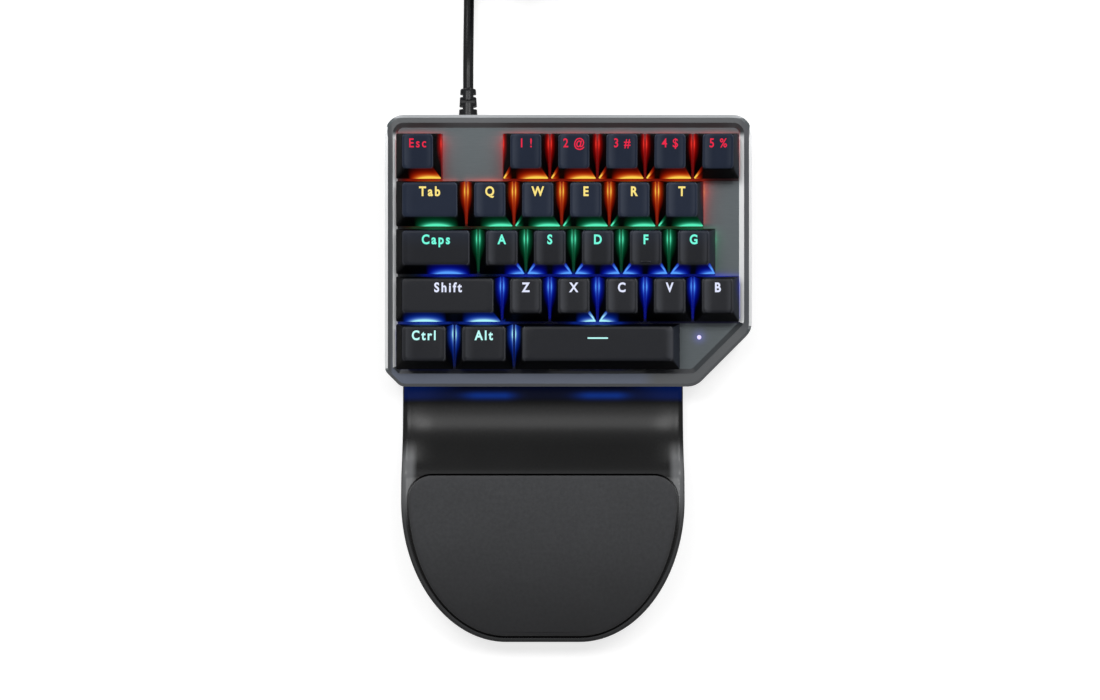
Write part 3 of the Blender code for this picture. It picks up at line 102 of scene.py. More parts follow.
# Key caps, on the part's source. The heights by row, front and rear, are shares of CAP_HEIGHT.
CAP_GAP = 0.00095
CAP_HEIGHT = 0.0092
CAP_FRONT_HEIGHTS = (1.04, 0.94, 0.89, 0.94, 0.94)
CAP_REAR_HEIGHTS = (1.28, 1.04, 0.89, 0.85, 0.85)
CAP_CLEARANCE = 0.0062
CAP_SIDE_TAPER, CAP_FRONT_TAPER, CAP_REAR_TAPER = 0.00285, 0.0034, 0.00095
CAP_WALL, CAP_ROOF = 0.0013, 0.0016
CAP_BASE_CORNER, CAP_TOP_CORNER, CAP_ROUNDING = 0.0006, 0.0016, 0.0005
DISH_DEPTH, BAR_DROP = 0.0007, 0.0003

# Legends, on the caps' tops
LEGEND_HEIGHTS = (0.0036, 0.0038, 0.0038, 0.0038, 0.0038)
LEGEND_BOLDNESS = (0.020, 0.042, 0.042, 0.042, 0.042)
LEGEND_OFFSET, LEGEND_LIFT = 0.0043, 0.00004
CAPITAL_SHARE, LETTER_WIDTH, LETTER_SPACING, WORD_SPACING = 0.73, 0.86, 1.34, 0.55
SPACE_LINE_OFFSET, HOMING_OFFSET = 0.0034, -0.0043

# Light of each row, low and at its brightest, and the legends' colour
ROW_GLOW = (
    ((0.50, 0.001, 0.001), (1.00, 0.045, 0.030), (0.82, 0.015, 0.060)),
    ((0.86, 0.022, 0.000), (1.00, 0.660, 0.080), (1.00, 0.770, 0.220)),
    ((0.00, 0.150, 0.050), (0.10, 0.900, 0.520), (0.17, 0.950, 0.720)),
    ((0.00, 0.006, 0.680), (0.10, 0.360, 1.000), (0.74, 0.780, 1.000)),
    ((0.00, 0.050, 0.760), (0.42, 0.930, 1.000), (0.50, 1.000, 0.930)),
)
LAMP_OFFSET = 0.0050
BLACK = (0.0, 0.0, 0.0)

# Cable, as in the part's source
CABLE_RADIUS = 0.0021
CABLE_X = HOUSING_LEFT + 0.0331
CABLE_HEIGHT = 0.0124
RELIEF_LENGTH = 0.0130
COIL_START_HEIGHT = 0.0032
COIL_DISTANCE = 0.0750
COIL_LAYERS = 4
COIL_RADIUS = 0.0235
COIL_PITCH = 2 * CABLE_RADIUS + 0.0006
COIL_STEPS = 24
CABLE_LENGTH = 1.50
TAIL_RADIUS = 0.0170
PLUG_RISE = CABLE_RADIUS + 2 * 0.0004 + 0.0006 + 0.0040
CABLE_GAP = 0.0003

# Screws and tilt feet, on the sizes of the part's source
SCREW_HEAD = 0.0015
CASE_SCREW_LENGTH, REST_SCREW_LENGTH = 0.0080, 0.0045
THREAD_PITCH = 0.0008
FOOT_REACH = 0.053

# Camera, over the deck's middle, with its lens in millimetres
CAMERA_PLACE = (-0.0074, 0.0114, 1.13)
FOCAL_LENGTH, SENSOR_WIDTH = 92.0, 36.0


def key_places():
    """Name, row, middle x, middle y, width in pitches and legend of each key, on the deck."""
    for row, keys in enumerate(ROWS):
        y = FIELD_REAR - (row + 0.5) * KEY_PITCH
        for name, start, units, legend in keys:
            yield name, row, FIELD_LEFT + (start + units / 2) * KEY_PITCH, y, units, legend


KEYS = list(key_places())


def maths(operation):
    """A method of Value that adds a Math node."""
    return lambda value, *others: value.math(operation, *others)


class Value:
    """An output of a node. Arithmetic on it adds Math nodes."""

    __add__ = __radd__ = maths("ADD")
    __mul__ = __rmul__ = maths("MULTIPLY")
    __sub__, __truediv__, __pow__ = maths("SUBTRACT"), maths("DIVIDE"), maths("POWER")
    __abs__, least, most = maths("ABSOLUTE"), maths("MINIMUM"), maths("MAXIMUM")

    def __init__(self, tree, socket):
        self.tree, self.socket = tree, socket

    def math(self, operation, *others):
        return self.tree.node("Math", {"operation": operation}, (self, *others))

    def __rsub__(self, other):
        return self.tree.node("Math", {"operation": "SUBTRACT"}, (other, self))

    def __neg__(self):
        return self * -1

    def held(self, low=0, high=1):
        return self.most(low).least(high)

    def bell(self, width):
        """1 where this is 0, falling off to both sides over the width."""
        share = self / width
        return (share * share * -1).math("EXPONENT")

    def fade(self, length=1):
        """1 where this is 0, and less by the same share with each length."""
        return (self / -length).math("EXPONENT")

    def step(self, start, end):
        """Smoothly from 0 at start to 1 at end."""
        sockets = {"Value": self, "From Min": min(start, end), "From Max": max(start, end)}
        made = self.tree.node("MapRange", {"interpolation_type": "SMOOTHSTEP"}, sockets)
        return made if start < end else 1 - made

    def band(self, start, end, soft):
        """1 between start and end, smoothly 0 outside."""
        return self.step(start, start + soft) * self.step(end, end - soft)


class Tree:
    """The nodes of a material or of the world."""

    def __init__(self, data):
        self.data = data

    def node(self, kind, settings=None, sockets=(), out=0):
        """One node: its settings come first, then its sockets' values or links."""
        made = self.data.nodes.new("ShaderNode" + kind)
        for name, value in (settings or {}).items():
            setattr(made, name, value)
        for name, value in sockets.items() if isinstance(sockets, dict) else enumerate(sockets):
            self.plug(made.inputs[name], value)
        return Value(self, made.outputs[out])

    def plug(self, socket, value):
        if isinstance(value, Value):
            self.data.links.new(value.socket, socket)
        elif socket.type == "RGBA":
            socket.default_value = (*value, 1)
        else:
            socket.default_value = value


class Finish(Tree):
    """A material with a Principled shader. Its constants are set on the shader's own sockets."""

    def __init__(self, name, **constants):
        self.material = bpy.data.materials.new(name)
        self.material.use_nodes = True
        super().__init__(self.material.node_tree)
        self.shader = self.data.nodes["Principled BSDF"]
        self.set(**constants)

    def set(self, **values):
        for socket, value in values.items():
            self.plug(self.shader.inputs[socket.replace("_", " ")], value)
        return self

    def parts(self, vector):
        made = self.node("SeparateXYZ", sockets=(vector,)).socket.node
        return [Value(self, output) for output in made.outputs]

    def place(self):
        """x, y and z of the surface at rest."""
        return self.parts(self.node("TexCoord", out="Object"))

    def facing(self):
        """The surface's own direction, as x, y and z."""
        return self.parts(self.node("NewGeometry", out="Normal"))

    def spots(self, scale, detail=2.0, stretch=(1, 1, 1)):
        """Noise from 0 to 1, with so many spots to the metre."""
        sockets = {"Vector": self.node("TexCoord", out="Object"), "Scale": stretch}
        scaled = self.node("Mapping", {"vector_type": "POINT"}, sockets)
        return self.node("TexNoise", sockets={"Vector": scaled, "Scale": scale, "Detail": detail})

    def mix(self, share, first, second, blend_type="MIX"):
        """Colours, first where share is 0. The numbers are the Mix node's colour sockets."""
        settings = {"data_type": "RGBA", "blend_type": blend_type}
        return self.node("Mix", settings, {0: share, 6: first, 7: second}, 2)

    def added(self, first, second):
        return self.mix(1.0, first, second, "ADD")

    def mottled(self, base, cloud, low, high):
        """A base colour that soft clouds make darker and paler."""
        return self.mix(1.0, base, self.mix(cloud, low, high), "MULTIPLY")

    def bump(self, height, depth, strength, normal=None):
        """Dents and grain: height from 0 to 1, depth in metres."""
        sockets = {"Strength": strength, "Distance": depth, "Height": height}
        if normal:
            sockets["Normal"] = normal
        return self.set(Normal=self.node("Bump", sockets=sockets))


def deck_place(finish):
    """x, y and height over the plate of the surface at rest, in the deck's directions."""
    x, y, z = finish.place()
    above = z - PLATE_HEIGHT
    across = y * cos(DECK_TILT) + above * sin(DECK_TILT)
    return x, across, above * cos(DECK_TILT) - y * sin(DECK_TILT)


def lamp_distance(x, row):
    """Signed distance in x to the row's nearest lamp. One lamp is below each key's middle."""
    places = [place for _, key_row, place, _, _, _ in KEYS if key_row == row]
    distances = []
    if row < len(ROWS) - 1:
        # All keys but the first are one pitch apart
        first = places[1]
        index = ((x - first) / KEY_PITCH).math("ROUND").held(0, len(places) - 2)
        distances.append(x - first - index * KEY_PITCH)
        places = places[:1]
    distances += [x - place for place in places]

    def nearer(near, away):
        closer = abs(away).math("LESS_THAN", abs(near))
        return closer * away + (1 - closer) * near

    return reduce(nearer, distances)


def glow(finish, brightness):
    """The light of all rows on a surface. brightness gives a row's share, from 0 to 1."""
    x, y, height = deck_place(finish)
    lights = []
    for row, (low, high, _) in enumerate(ROW_GLOW):
        lamp_y = FIELD_REAR - (row + 0.5) * KEY_PITCH + LAMP_OFFSET
        share = brightness(row, lamp_distance(x, row), y - lamp_y, height).held()
        tint = finish.mix(share ** 2.2, low, high)
        lights.append(finish.mix(share ** 0.8, BLACK, tint))
    return reduce(finish.added, lights)


def key_cover(x, y):
    """1 on the plate where keys stand side by side, 0 where it lies open."""
    soft = 0.0003
    shares = []
    for row, keys in enumerate(ROWS):
        runs = []
        for _, start, units, _ in keys:
            if runs and runs[-1][1] == start:
                runs[-1][1] = start + units
            else:
                runs.append([start, start + units])
        rear = FIELD_REAR - row * KEY_PITCH
        for start, end in runs:
            across = x.band(FIELD_LEFT + start * KEY_PITCH, FIELD_LEFT + end * KEY_PITCH, soft)
            shares.append(across * y.band(rear - KEY_PITCH - soft, rear, soft))
    return reduce(Value.most, shares)


def beyond_row(x, row):
    """1 from the outer wall of the row's last key to the right."""
    end = FIELD_LEFT + max(start + units for _, start, units, _ in ROWS[row]) * KEY_PITCH
    return x.step(end - 0.0045, end - 0.0040)


def last_key(x, y):
    """1 at the right end of each row."""
    shares = []
    for row in range(len(ROWS)):
        rear = FIELD_REAR - row * KEY_PITCH
        shares.append(y.band(rear - KEY_PITCH, rear, 0.0001) * beyond_row(x, row))
    return reduce(Value.most, shares)


def cap_finish():
    """Fine matt plastic, with a painted reflection that makes the rear rows bluer, painted highlights and
    shade, and the lamps' light painted on its walls.
    """
    finish = Finish("key_cap_plastic", Emission_Strength=1.0, Specular_IOR_Level=0.12)
    x, y, height = deck_place(finish)
    normal_x, normal_y, normal_z = finish.facing()
    grain = finish.spots(5200, 3.0)
    cloud = finish.spots(160)
    # Painted reflection: the tops and top edges of the rear rows are bluer.
    reflected_blue_rows = y.step(0.050, 0.066)
    top = finish.mix(reflected_blue_rows, (0.0055, 0.0063, 0.0092), (0.0115, 0.0175, 0.0345))
    edge = finish.mix(reflected_blue_rows, (0.050, 0.053, 0.062), (0.048, 0.058, 0.082))
    # Painted highlight: the tops are paler towards their left and right edges, more so on the right.
    lit_edge = normal_x.step(0.06, 0.20) * 0.75 + normal_x.step(-0.10, -0.20) * 0.45
    # Painted light and shade on the walls: they are far darker than the tops, and the outer wall at each
    # row's right end is painted lighter.
    lit_outer_wall = normal_x.step(0.55, 0.80) * last_key(x, y)
    walls = finish.mix(lit_outer_wall, (0.0010, 0.0011, 0.0016), (0.0200, 0.0240, 0.0330))
    wall = normal_z.step(0.85, 0.45)
    body = finish.mix(wall, finish.mix(lit_edge, top, edge), walls)
    finish.set(Base_Color=finish.mottled(body, cloud, (0.86, 0.86, 0.88), (1.12, 1.12, 1.12)))
    finish.set(Metallic=wall * (1 - lit_outer_wall) * 0.85, Roughness=0.30 + grain * 0.12 + wall * 0.30)
    finish.bump(grain, 0.000012, 0.6)

    front_wall = (-normal_y).step(0.45, 0.75)
    rear_wall = normal_y.step(0.55, 0.85)
    side_wall = abs(normal_x).step(0.55, 0.85)
    front_corner = (abs(normal_x) * normal_y).step(-0.20, -0.34)
    inside = x.step(FIELD_LEFT + 0.0025, FIELD_LEFT + 0.0040)
    fan_width, fan_fall, fan_height = 0.0088, 0.0023, 0.0042
    blot_height, blot_length = 0.0023, 0.0028
    line_height, line_length = 0.0007, 0.0090

    def brightness(row, away, behind, height):
        """Fans on the front walls, strokes on their corners, and light between the side walls."""
        rise = (height - CAP_CLEARANCE).most(0)
        on_front = behind.band(0.0040, 0.0098, 0.0006)
        across = away / fan_width
        wide = (1 - across * across).most(0) ** 1.5
        fan = wide * (1.35 * rise.fade(fan_fall) + 0.42 * rise.bell(fan_height))
        near_lamp = (away * normal_x).step(-0.0002, -0.0016) * abs(away).step(0.0085, 0.0055)
        stroke = front_corner * near_lamp * (1.25 - rise * 100).held()
        own_row = behind.step(-0.0145, -0.0140) * behind.step(0.0048, 0.0042)
        blot = ((rise / blot_height) ** 2 + (behind / blot_length) ** 2).math("SQRT").fade() * 1.10
        line = rise.fade(line_height) * 0.50 * behind.bell(line_length)
        dimmed = 0.88 if row < len(ROWS) - 1 else 1.0
        between = inside * (1 - beyond_row(x, row) * dimmed)
        leak = side_wall * (blot + line - 0.06).most(0) * own_row * between
        low = height.step(CAP_CLEARANCE + 0.0030, CAP_CLEARANCE)
        back = rear_wall * abs(away).bell(0.0060) * low * own_row
        return on_front * (front_wall * fan + stroke) + leak + back * 0.45

    return finish.set(Emission_Color=glow(finish, brightness)).material


def plate_finish():
    """Brushed gunmetal with painted highlights and shade on its edge, and the lamps' light painted between
    the keys and round the status light.
    """
    finish = Finish("brushed_gunmetal", Emission_Strength=1.0, Specular_IOR_Level=0.3, Metallic=0.6)
    x, y, height = deck_place(finish)
    normal_x, normal_y, normal_z = finish.facing()
    brush = finish.spots(240, 4.0, (1, 22, 22))
    cloud = finish.spots(26)
    wear = finish.spots(900, 5.0)
    level = normal_z.step(0.93, 0.985)
    raised = height.step(-0.0006, 0.0002)
    sunk = height.step(0.0009, 0.0004)
    # Painted highlight: the left and right slopes of the raised edge are made pale, and a little smoother.
    painted_slope_highlight = abs(normal_x).step(0.32, 0.50) * raised * abs(normal_y).step(0.24, 0.16)
    painted_slope_highlight = painted_slope_highlight * (abs(x).step(0.0725, 0.0730) + y.step(0.0995, 0.0950)).held()
    rear_edge = y.step(HOUSING_REAR - 0.0016, HOUSING_REAR - 0.0010)
    cross_slope_shade = abs(normal_y).step(0.30, 0.50) * raised * (1 - rear_edge)

    base = finish.mix(brush, (0.057, 0.067, 0.072), (0.081, 0.092, 0.097))
    # Painted reflection: the land is bluer at the front, except at its right end.
    reflected_blue_land = y.step(0.02, 0.00) * x.step(0.036, 0.028)
    rim = finish.mix(reflected_blue_land, (0.070, 0.073, 0.076), (0.078, 0.088, 0.114))
    # Painted shade: the land is darker along the housing's left side.
    inner_left = x.step(HOUSING_LEFT + 0.0020, HOUSING_LEFT + 0.0034)
    rim = finish.mix(inner_left, (0.044, 0.046, 0.049), rim)
    # Painted shade: the land is darker at the right, towards the rear.
    rear_right = x.step(0.0680, 0.0700) * y.step(0.016, 0.024)
    rim = finish.mix(rear_right, rim, (0.052, 0.055, 0.060))
    base = finish.mix((1 - sunk) * level, base, rim)
    # Painted shade: the level plate under and between the keys is nearly black.
    base = finish.mix(sunk * level * key_cover(x, y) * 0.92, base, (0.004, 0.004, 0.005))
    # Painted highlight on the side slopes
    base = finish.mix(painted_slope_highlight, base, (0.50, 0.505, 0.51))
    # Painted highlight: the rear outer chamfer is pale.
    base = finish.mix(rear_edge * normal_y.step(0.20, 0.45), base, (0.30, 0.31, 0.32))
    # Painted shade: the slopes facing front and rear get a grey of their own, far darker than the painted
    # highlight on the side slopes.
    base = finish.mix(cross_slope_shade * 0.8, base, (0.115, 0.117, 0.122))
    finish.set(Base_Color=finish.mottled(base, cloud, (0.90, 0.91, 0.92), (1.08, 1.08, 1.08)))
    finish.set(Roughness=0.46 - painted_slope_highlight * 0.16 + wear * 0.08)

    # The slopes with the painted highlight are also shaded as a little rounded towards the deck's own
    # direction
    turn = {0: tuple(DECK_NORMAL), "Scale": painted_slope_highlight * 4}
    turned = finish.node("VectorMath", {"operation": "SCALE"}, turn)
    surface = finish.node("NewGeometry", out="Normal")
    rounded = finish.node("VectorMath", {"operation": "ADD"}, (surface, turned))
    rounded = finish.node("VectorMath", {"operation": "NORMALIZE"}, (rounded,))
    finish.bump(brush * 0.7 + wear * 0.3, 0.00003, 0.35, rounded)

    inside = x.step(FIELD_LEFT - 0.0012, FIELD_LEFT + 0.0004) * x.step(0.0693, 0.0687)
    reach, row_start, row_end, fall = 0.0096, 0.0125, 0.0050, 0.0048

    def brightness(row, away, behind, height):
        """Light on the plate, round each lamp and on to the ends of its row."""
        across = (abs(away) - reach).most(0).fade(0.0014)
        ends = (-behind - row_start).most(0).fade(0.0005) * (behind - row_end).most(0).fade(0.0006)
        along = 0.12 + 0.42 * abs(behind).fade(fall)
        rear = behind.step(0.0030, 0.0042) * (1 - away.bell(0.0060))
        return across * ends * along * (1 - rear * 0.6) * sunk * inside

    lamp = DECK.inverted() @ (sum(map(Vector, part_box("status_light")), Vector()) / 2)
    halo = ((x - lamp.x) ** 2 + (y - lamp.y) ** 2).math("SQRT").bell(0.0022)
    halo = finish.mix(halo, BLACK, (0.030, 0.030, 0.180))
    return finish.set(Emission_Color=finish.added(glow(finish, brightness), halo)).material


def moulded(name, dark, pale, roughness, grain_scale, grain_depth, shine=0.5):
    """Moulded plastic or rubber: two tones in soft clouds, and grain."""
    finish = Finish(name, Specular_IOR_Level=shine)
    grain = finish.spots(grain_scale, 3.0)
    finish.tone = finish.mix(finish.spots(90), dark, pale)
    finish.set(Base_Color=finish.tone, Roughness=roughness - 0.06 + grain * 0.12)
    return finish.bump(grain, grain_depth, 0.5)


def shell_finish():
    """Satin black, with painted highlights making its rim and its sides by the pad's rear corners paler, and
    the deck's blue light painted on its neck.
    """
    dark, pale = (0.0018, 0.0019, 0.0020), (0.0030, 0.0031, 0.0033)
    finish = moulded("satin_black", dark, pale, 0.26, 3800, 0.000006, 0.17).set(Emission_Strength=1.0)
    x, y, _ = finish.place()
    normal_z = finish.facing()[2]
    aside = abs(x - REST_MIDDLE)
    rolled = normal_z.step(0.30, 0.60)
    # Painted highlights: the rolled rim beside the pad is paler, and the rolled sides near the pad's rear
    # corners paler still.
    rim = rolled * normal_z.step(0.97, 0.88) * y.step(-0.036, -0.042)
    corner = rolled * y.step(-0.0235, -0.0350) * y.step(-0.062, -0.043) * aside.step(0.0500, 0.0530)
    rim_highlight = finish.mix(rim, finish.tone, (0.040, 0.041, 0.043))
    finish.set(Base_Color=finish.mix(corner, rim_highlight, (0.120, 0.123, 0.127)))
    upward = normal_z.step(0.5, 0.8)
    finish.set(Metallic=y.step(-0.0125, -0.0078) * upward * 0.9)

    # Painted glow: the deck's blue light on the neck's rear part, stronger towards the sides, with brighter
    # streaks near its rear edge.
    tint = finish.mix(aside.step(0.030, 0.052), (0.000, 0.001, 0.010), (0.000, 0.006, 0.060))
    neck_glow = finish.mix(y.step(-0.0096, -0.0068) * upward, BLACK, tint)
    streaks = (x + 0.0360).bell(0.0065) + (x + 0.0270).bell(0.0050)
    streaks = streaks + (x - 0.0095).bell(0.0060) + (x - 0.0185).bell(0.0055)
    streak = (y + 0.0066).bell(0.0014) * streaks.held() * upward
    peak = finish.mix(streak, BLACK, (0.000, 0.020, 0.17))
    return finish.set(Emission_Color=finish.added(neck_glow, peak)).material


def pad_finish():
    """Fine mottled grey cloth over foam, with painted shade that darkens it towards the front."""
    finish = Finish("pad_cloth", Sheen_Weight=0.08, Sheen_Roughness=0.6, Specular_IOR_Level=0.2)
    thread = finish.spots(2600, 4.0)
    fleck = finish.spots(700, 3.0)
    y = finish.place()[1]
    base = finish.mix(fleck, (0.028, 0.029, 0.031), (0.046, 0.047, 0.050))
    # Painted shade: darker towards the front.
    base = finish.mix(y.step(-0.055, -0.105) * 0.65, base, (0.012, 0.012, 0.013))
    finish.set(Base_Color=finish.mottled(base, finish.spots(55), (0.90, 0.90, 0.90), (1.10, 1.10, 1.11)))
    finish.set(Roughness=0.72 + thread * 0.16)
    return finish.bump(thread * 0.7 + fleck * 0.3, 0.00007, 0.7).material


def board_finish():
    """Green board below, black switch housings above, each with its row's light on top."""
    finish = Finish("board_and_switches", Emission_Strength=1.0, Specular_IOR_Level=0.25)
    height = deck_place(finish)[2]
    grain = finish.spots(3000)
    trace = finish.spots(420, 1.0).step(0.48, 0.52)
    board = finish.mix(trace, (0.006, 0.045, 0.022), (0.010, 0.085, 0.040))
    housing = finish.mix(grain, (0.010, 0.010, 0.011), (0.018, 0.018, 0.019))
    over_board = height.step(-0.0049, -0.0046)
    finish.set(Base_Color=finish.mix(over_board, board, housing), Roughness=0.42 + grain * 0.12)
    finish.bump(grain, 0.00001, 0.5)

    def brightness(row, away, behind, height):
        return abs(away).bell(0.0045) * behind.bell(0.0042) * height.step(0.0035, 0.0058) * 0.8

    return finish.set(Emission_Color=glow(finish, brightness)).material


def brushed_metal(name, tone, roughness, stretch=(1, 1, 1)):
    finish = Finish(name, Metallic=1.0)
    brush = finish.spots(900, 4.0, stretch)
    low = tuple(c * 0.86 for c in tone)
    finish.set(Base_Color=finish.mix(brush, low, tone), Roughness=roughness - 0.05 + brush * 0.12)
    return finish.bump(brush, 0.000012, 0.3).material


def lit_finish(name, colour, strength=1.0):
    """A legend or light, faintly mottled."""
    finish = Finish(name, Emission_Strength=strength, Roughness=0.5, Specular_IOR_Level=0.05)
    cloud = finish.spots(1400)
    pale = tuple(min(1.0, c * 1.06) for c in colour)
    finish.set(Base_Color=finish.mix(cloud, (0.004, 0.004, 0.004), (0.008, 0.008, 0.008)))
    return finish.set(Emission_Color=finish.mix(cloud, colour, pale)).material


CAP = cap_finish()
PLATE = plate_finish()
SHELL = shell_finish()
PAD = pad_finish()
BOARD = board_finish()
CASE, RUBBER, SLEEVE, PLUG, IVORY, CHIP = (moulded(*values).material for values in (
    ("case_plastic", (0.0095, 0.0097, 0.0100), (0.0135, 0.0137, 0.0142), 0.50, 2600, 0.00003, 0.3),
    ("rubber", (0.0050, 0.0052, 0.0054), (0.0085, 0.0087, 0.0090), 0.66, 1800, 0.00003, 0.2),
    ("cable_sleeve", (0.0022, 0.0024, 0.0030), (0.0040, 0.0044, 0.0052), 0.28, 2400, 0.00001, 0.17),
    ("plug_plastic", (0.0050, 0.0052, 0.0055), (0.0085, 0.0088, 0.0092), 0.42, 2200, 0.00003, 0.25),
    ("ivory_plastic", (0.62, 0.59, 0.50), (0.72, 0.69, 0.60), 0.45, 1800, 0.00001),
    ("chip_plastic", (0.008, 0.008, 0.009), (0.014, 0.014, 0.015), 0.55, 3000, 0.00001),
))
STEEL = brushed_metal("bright_steel", (0.66, 0.67, 0.69), 0.28, (1, 8, 8))
GOLD = brushed_metal("gold_contact", (0.78, 0.55, 0.20), 0.25)
LEGENDS = [lit_finish(f"legend_row_{row + 1}", light[2]) for row, light in enumerate(ROW_GLOW)]
STATUS = lit_finish("status_light", (0.62, 0.55, 1.0), 1.4)


def linked(name, data):
    data.name = name
    obj = bpy.data.objects.new(name, data)
    bpy.context.scene.collection.objects.link(obj)
    return obj


def smoothed(mesh, degrees):
    mesh.shade_smooth()
    mesh.set_sharp_from_angle(angle=radians(degrees))


def finished(name, mesh, material, body, nodes=(), smooth=35):
    """A piece on its body, standing for the nodes named. Bends of more than smooth degrees stay sharp."""
    if smooth:
        smoothed(mesh, smooth)
    mesh.materials.clear()
    mesh.materials.append(material)
    piece = linked(name, mesh)
    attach(piece, body)
    if nodes:
        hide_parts(*nodes)
    return piece


def mesh_of(piece):
    """What a piece of text, or a piece with modifiers, comes to as a mesh."""
    bpy.context.view_layer.update()
    evaluated = piece.evaluated_get(bpy.context.evaluated_depsgraph_get())
    return bpy.data.meshes.new_from_object(evaluated)


def cut(piece, mesh, smooth, crossing=False):
    """Takes a mesh's volume out of a piece, after its other modifiers. The mesh's parts may cross."""
    cutter = linked("cutter", mesh)
    carve = piece.modifiers.new("cut", "BOOLEAN")
    carve.object, carve.operation, carve.solver = cutter, "DIFFERENCE", "EXACT"
    carve.use_self = crossing
    carved = mesh_of(piece)
    piece.modifiers.clear()
    piece.data = carved
    smoothed(carved, smooth)
    bpy.data.objects.remove(cutter, do_unlink=True)


def to_mesh(bm, turn=None):
    bmesh.ops.recalc_face_normals(bm, faces=bm.faces)
    mesh = bpy.data.meshes.new("mesh")
    bm.to_mesh(mesh)
    bm.free()
    if turn:
        mesh.transform(turn)
    return mesh


def loft(bm, rings, close_end=True):
    """Walls through rings of equally many points, closed by a face at the start and mostly at the end."""
    rows = [[bm.verts.new(point) for point in ring] for ring in rings]
    for low, high in zip(rows, rows[1:]):
        for a, b, c, d in zip(low, low[1:] + low[:1], high[1:] + high[:1], high):
            bm.faces.new((a, b, c, d))
    bm.faces.new(rows[0][::-1])
    if close_end:
        bm.faces.new(rows[-1])
    return rows


def lofted(rings, turn=None):
    """A solid through rings."""
    bm = bmesh.new()
    loft(bm, rings)
    return to_mesh(bm, turn)


def turned_rings(profile, sides):
    """Rings about the z axis through (radius, z)."""
    angles = [2 * pi * i / sides for i in range(sides)]
    return [[(radius * cos(a), radius * sin(a), z) for a in angles] for radius, z in profile]


def add_box(bm, centre, size):
    bmesh.ops.create_cube(bm, size=1, matrix=Matrix.Translation(centre) @ Matrix.Diagonal((*size, 1)))


def boxed(boxes, turn):
    """One mesh of boxes, each given by its centre and size."""
    bm = bmesh.new()
    for centre, size in boxes:
        add_box(bm, centre, size)
    return to_mesh(bm, turn)


def quarter(steps):
    """Angles over a quarter turn."""
    return [pi / 2 * i / steps for i in range(steps + 1)]


def rounded_box(half_x, low_y, high_y, radius, fill_x=6, fill_y=4, steps=4):
    """Points (x, y) round a box with round corners, with points along its sides too."""
    arcs = []
    corners = ((half_x, low_y, -90), (half_x, high_y, 0), (-half_x, high_y, 90), (-half_x, low_y, 180))
    for x, y, start in corners:
        centre_x = x - copysign(radius, x)
        centre_y = y + (radius if y == low_y else -radius)
        angles = [radians(start + 90 * step / steps) for step in range(steps + 1)]
        arcs.append([(centre_x + radius * cos(a), centre_y + radius * sin(a)) for a in angles])
    points = []
    for arc, following, count in zip(arcs, arcs[1:] + arcs[:1], (fill_y, fill_x) * 2):
        points += arc
        (x, y), (next_x, next_y) = arc[-1], following[0]
        shares = [k / (count + 1) for k in range(1, count + 1)]
        points += [(x + (next_x - x) * share, y + (next_y - y) * share) for share in shares]
    return points


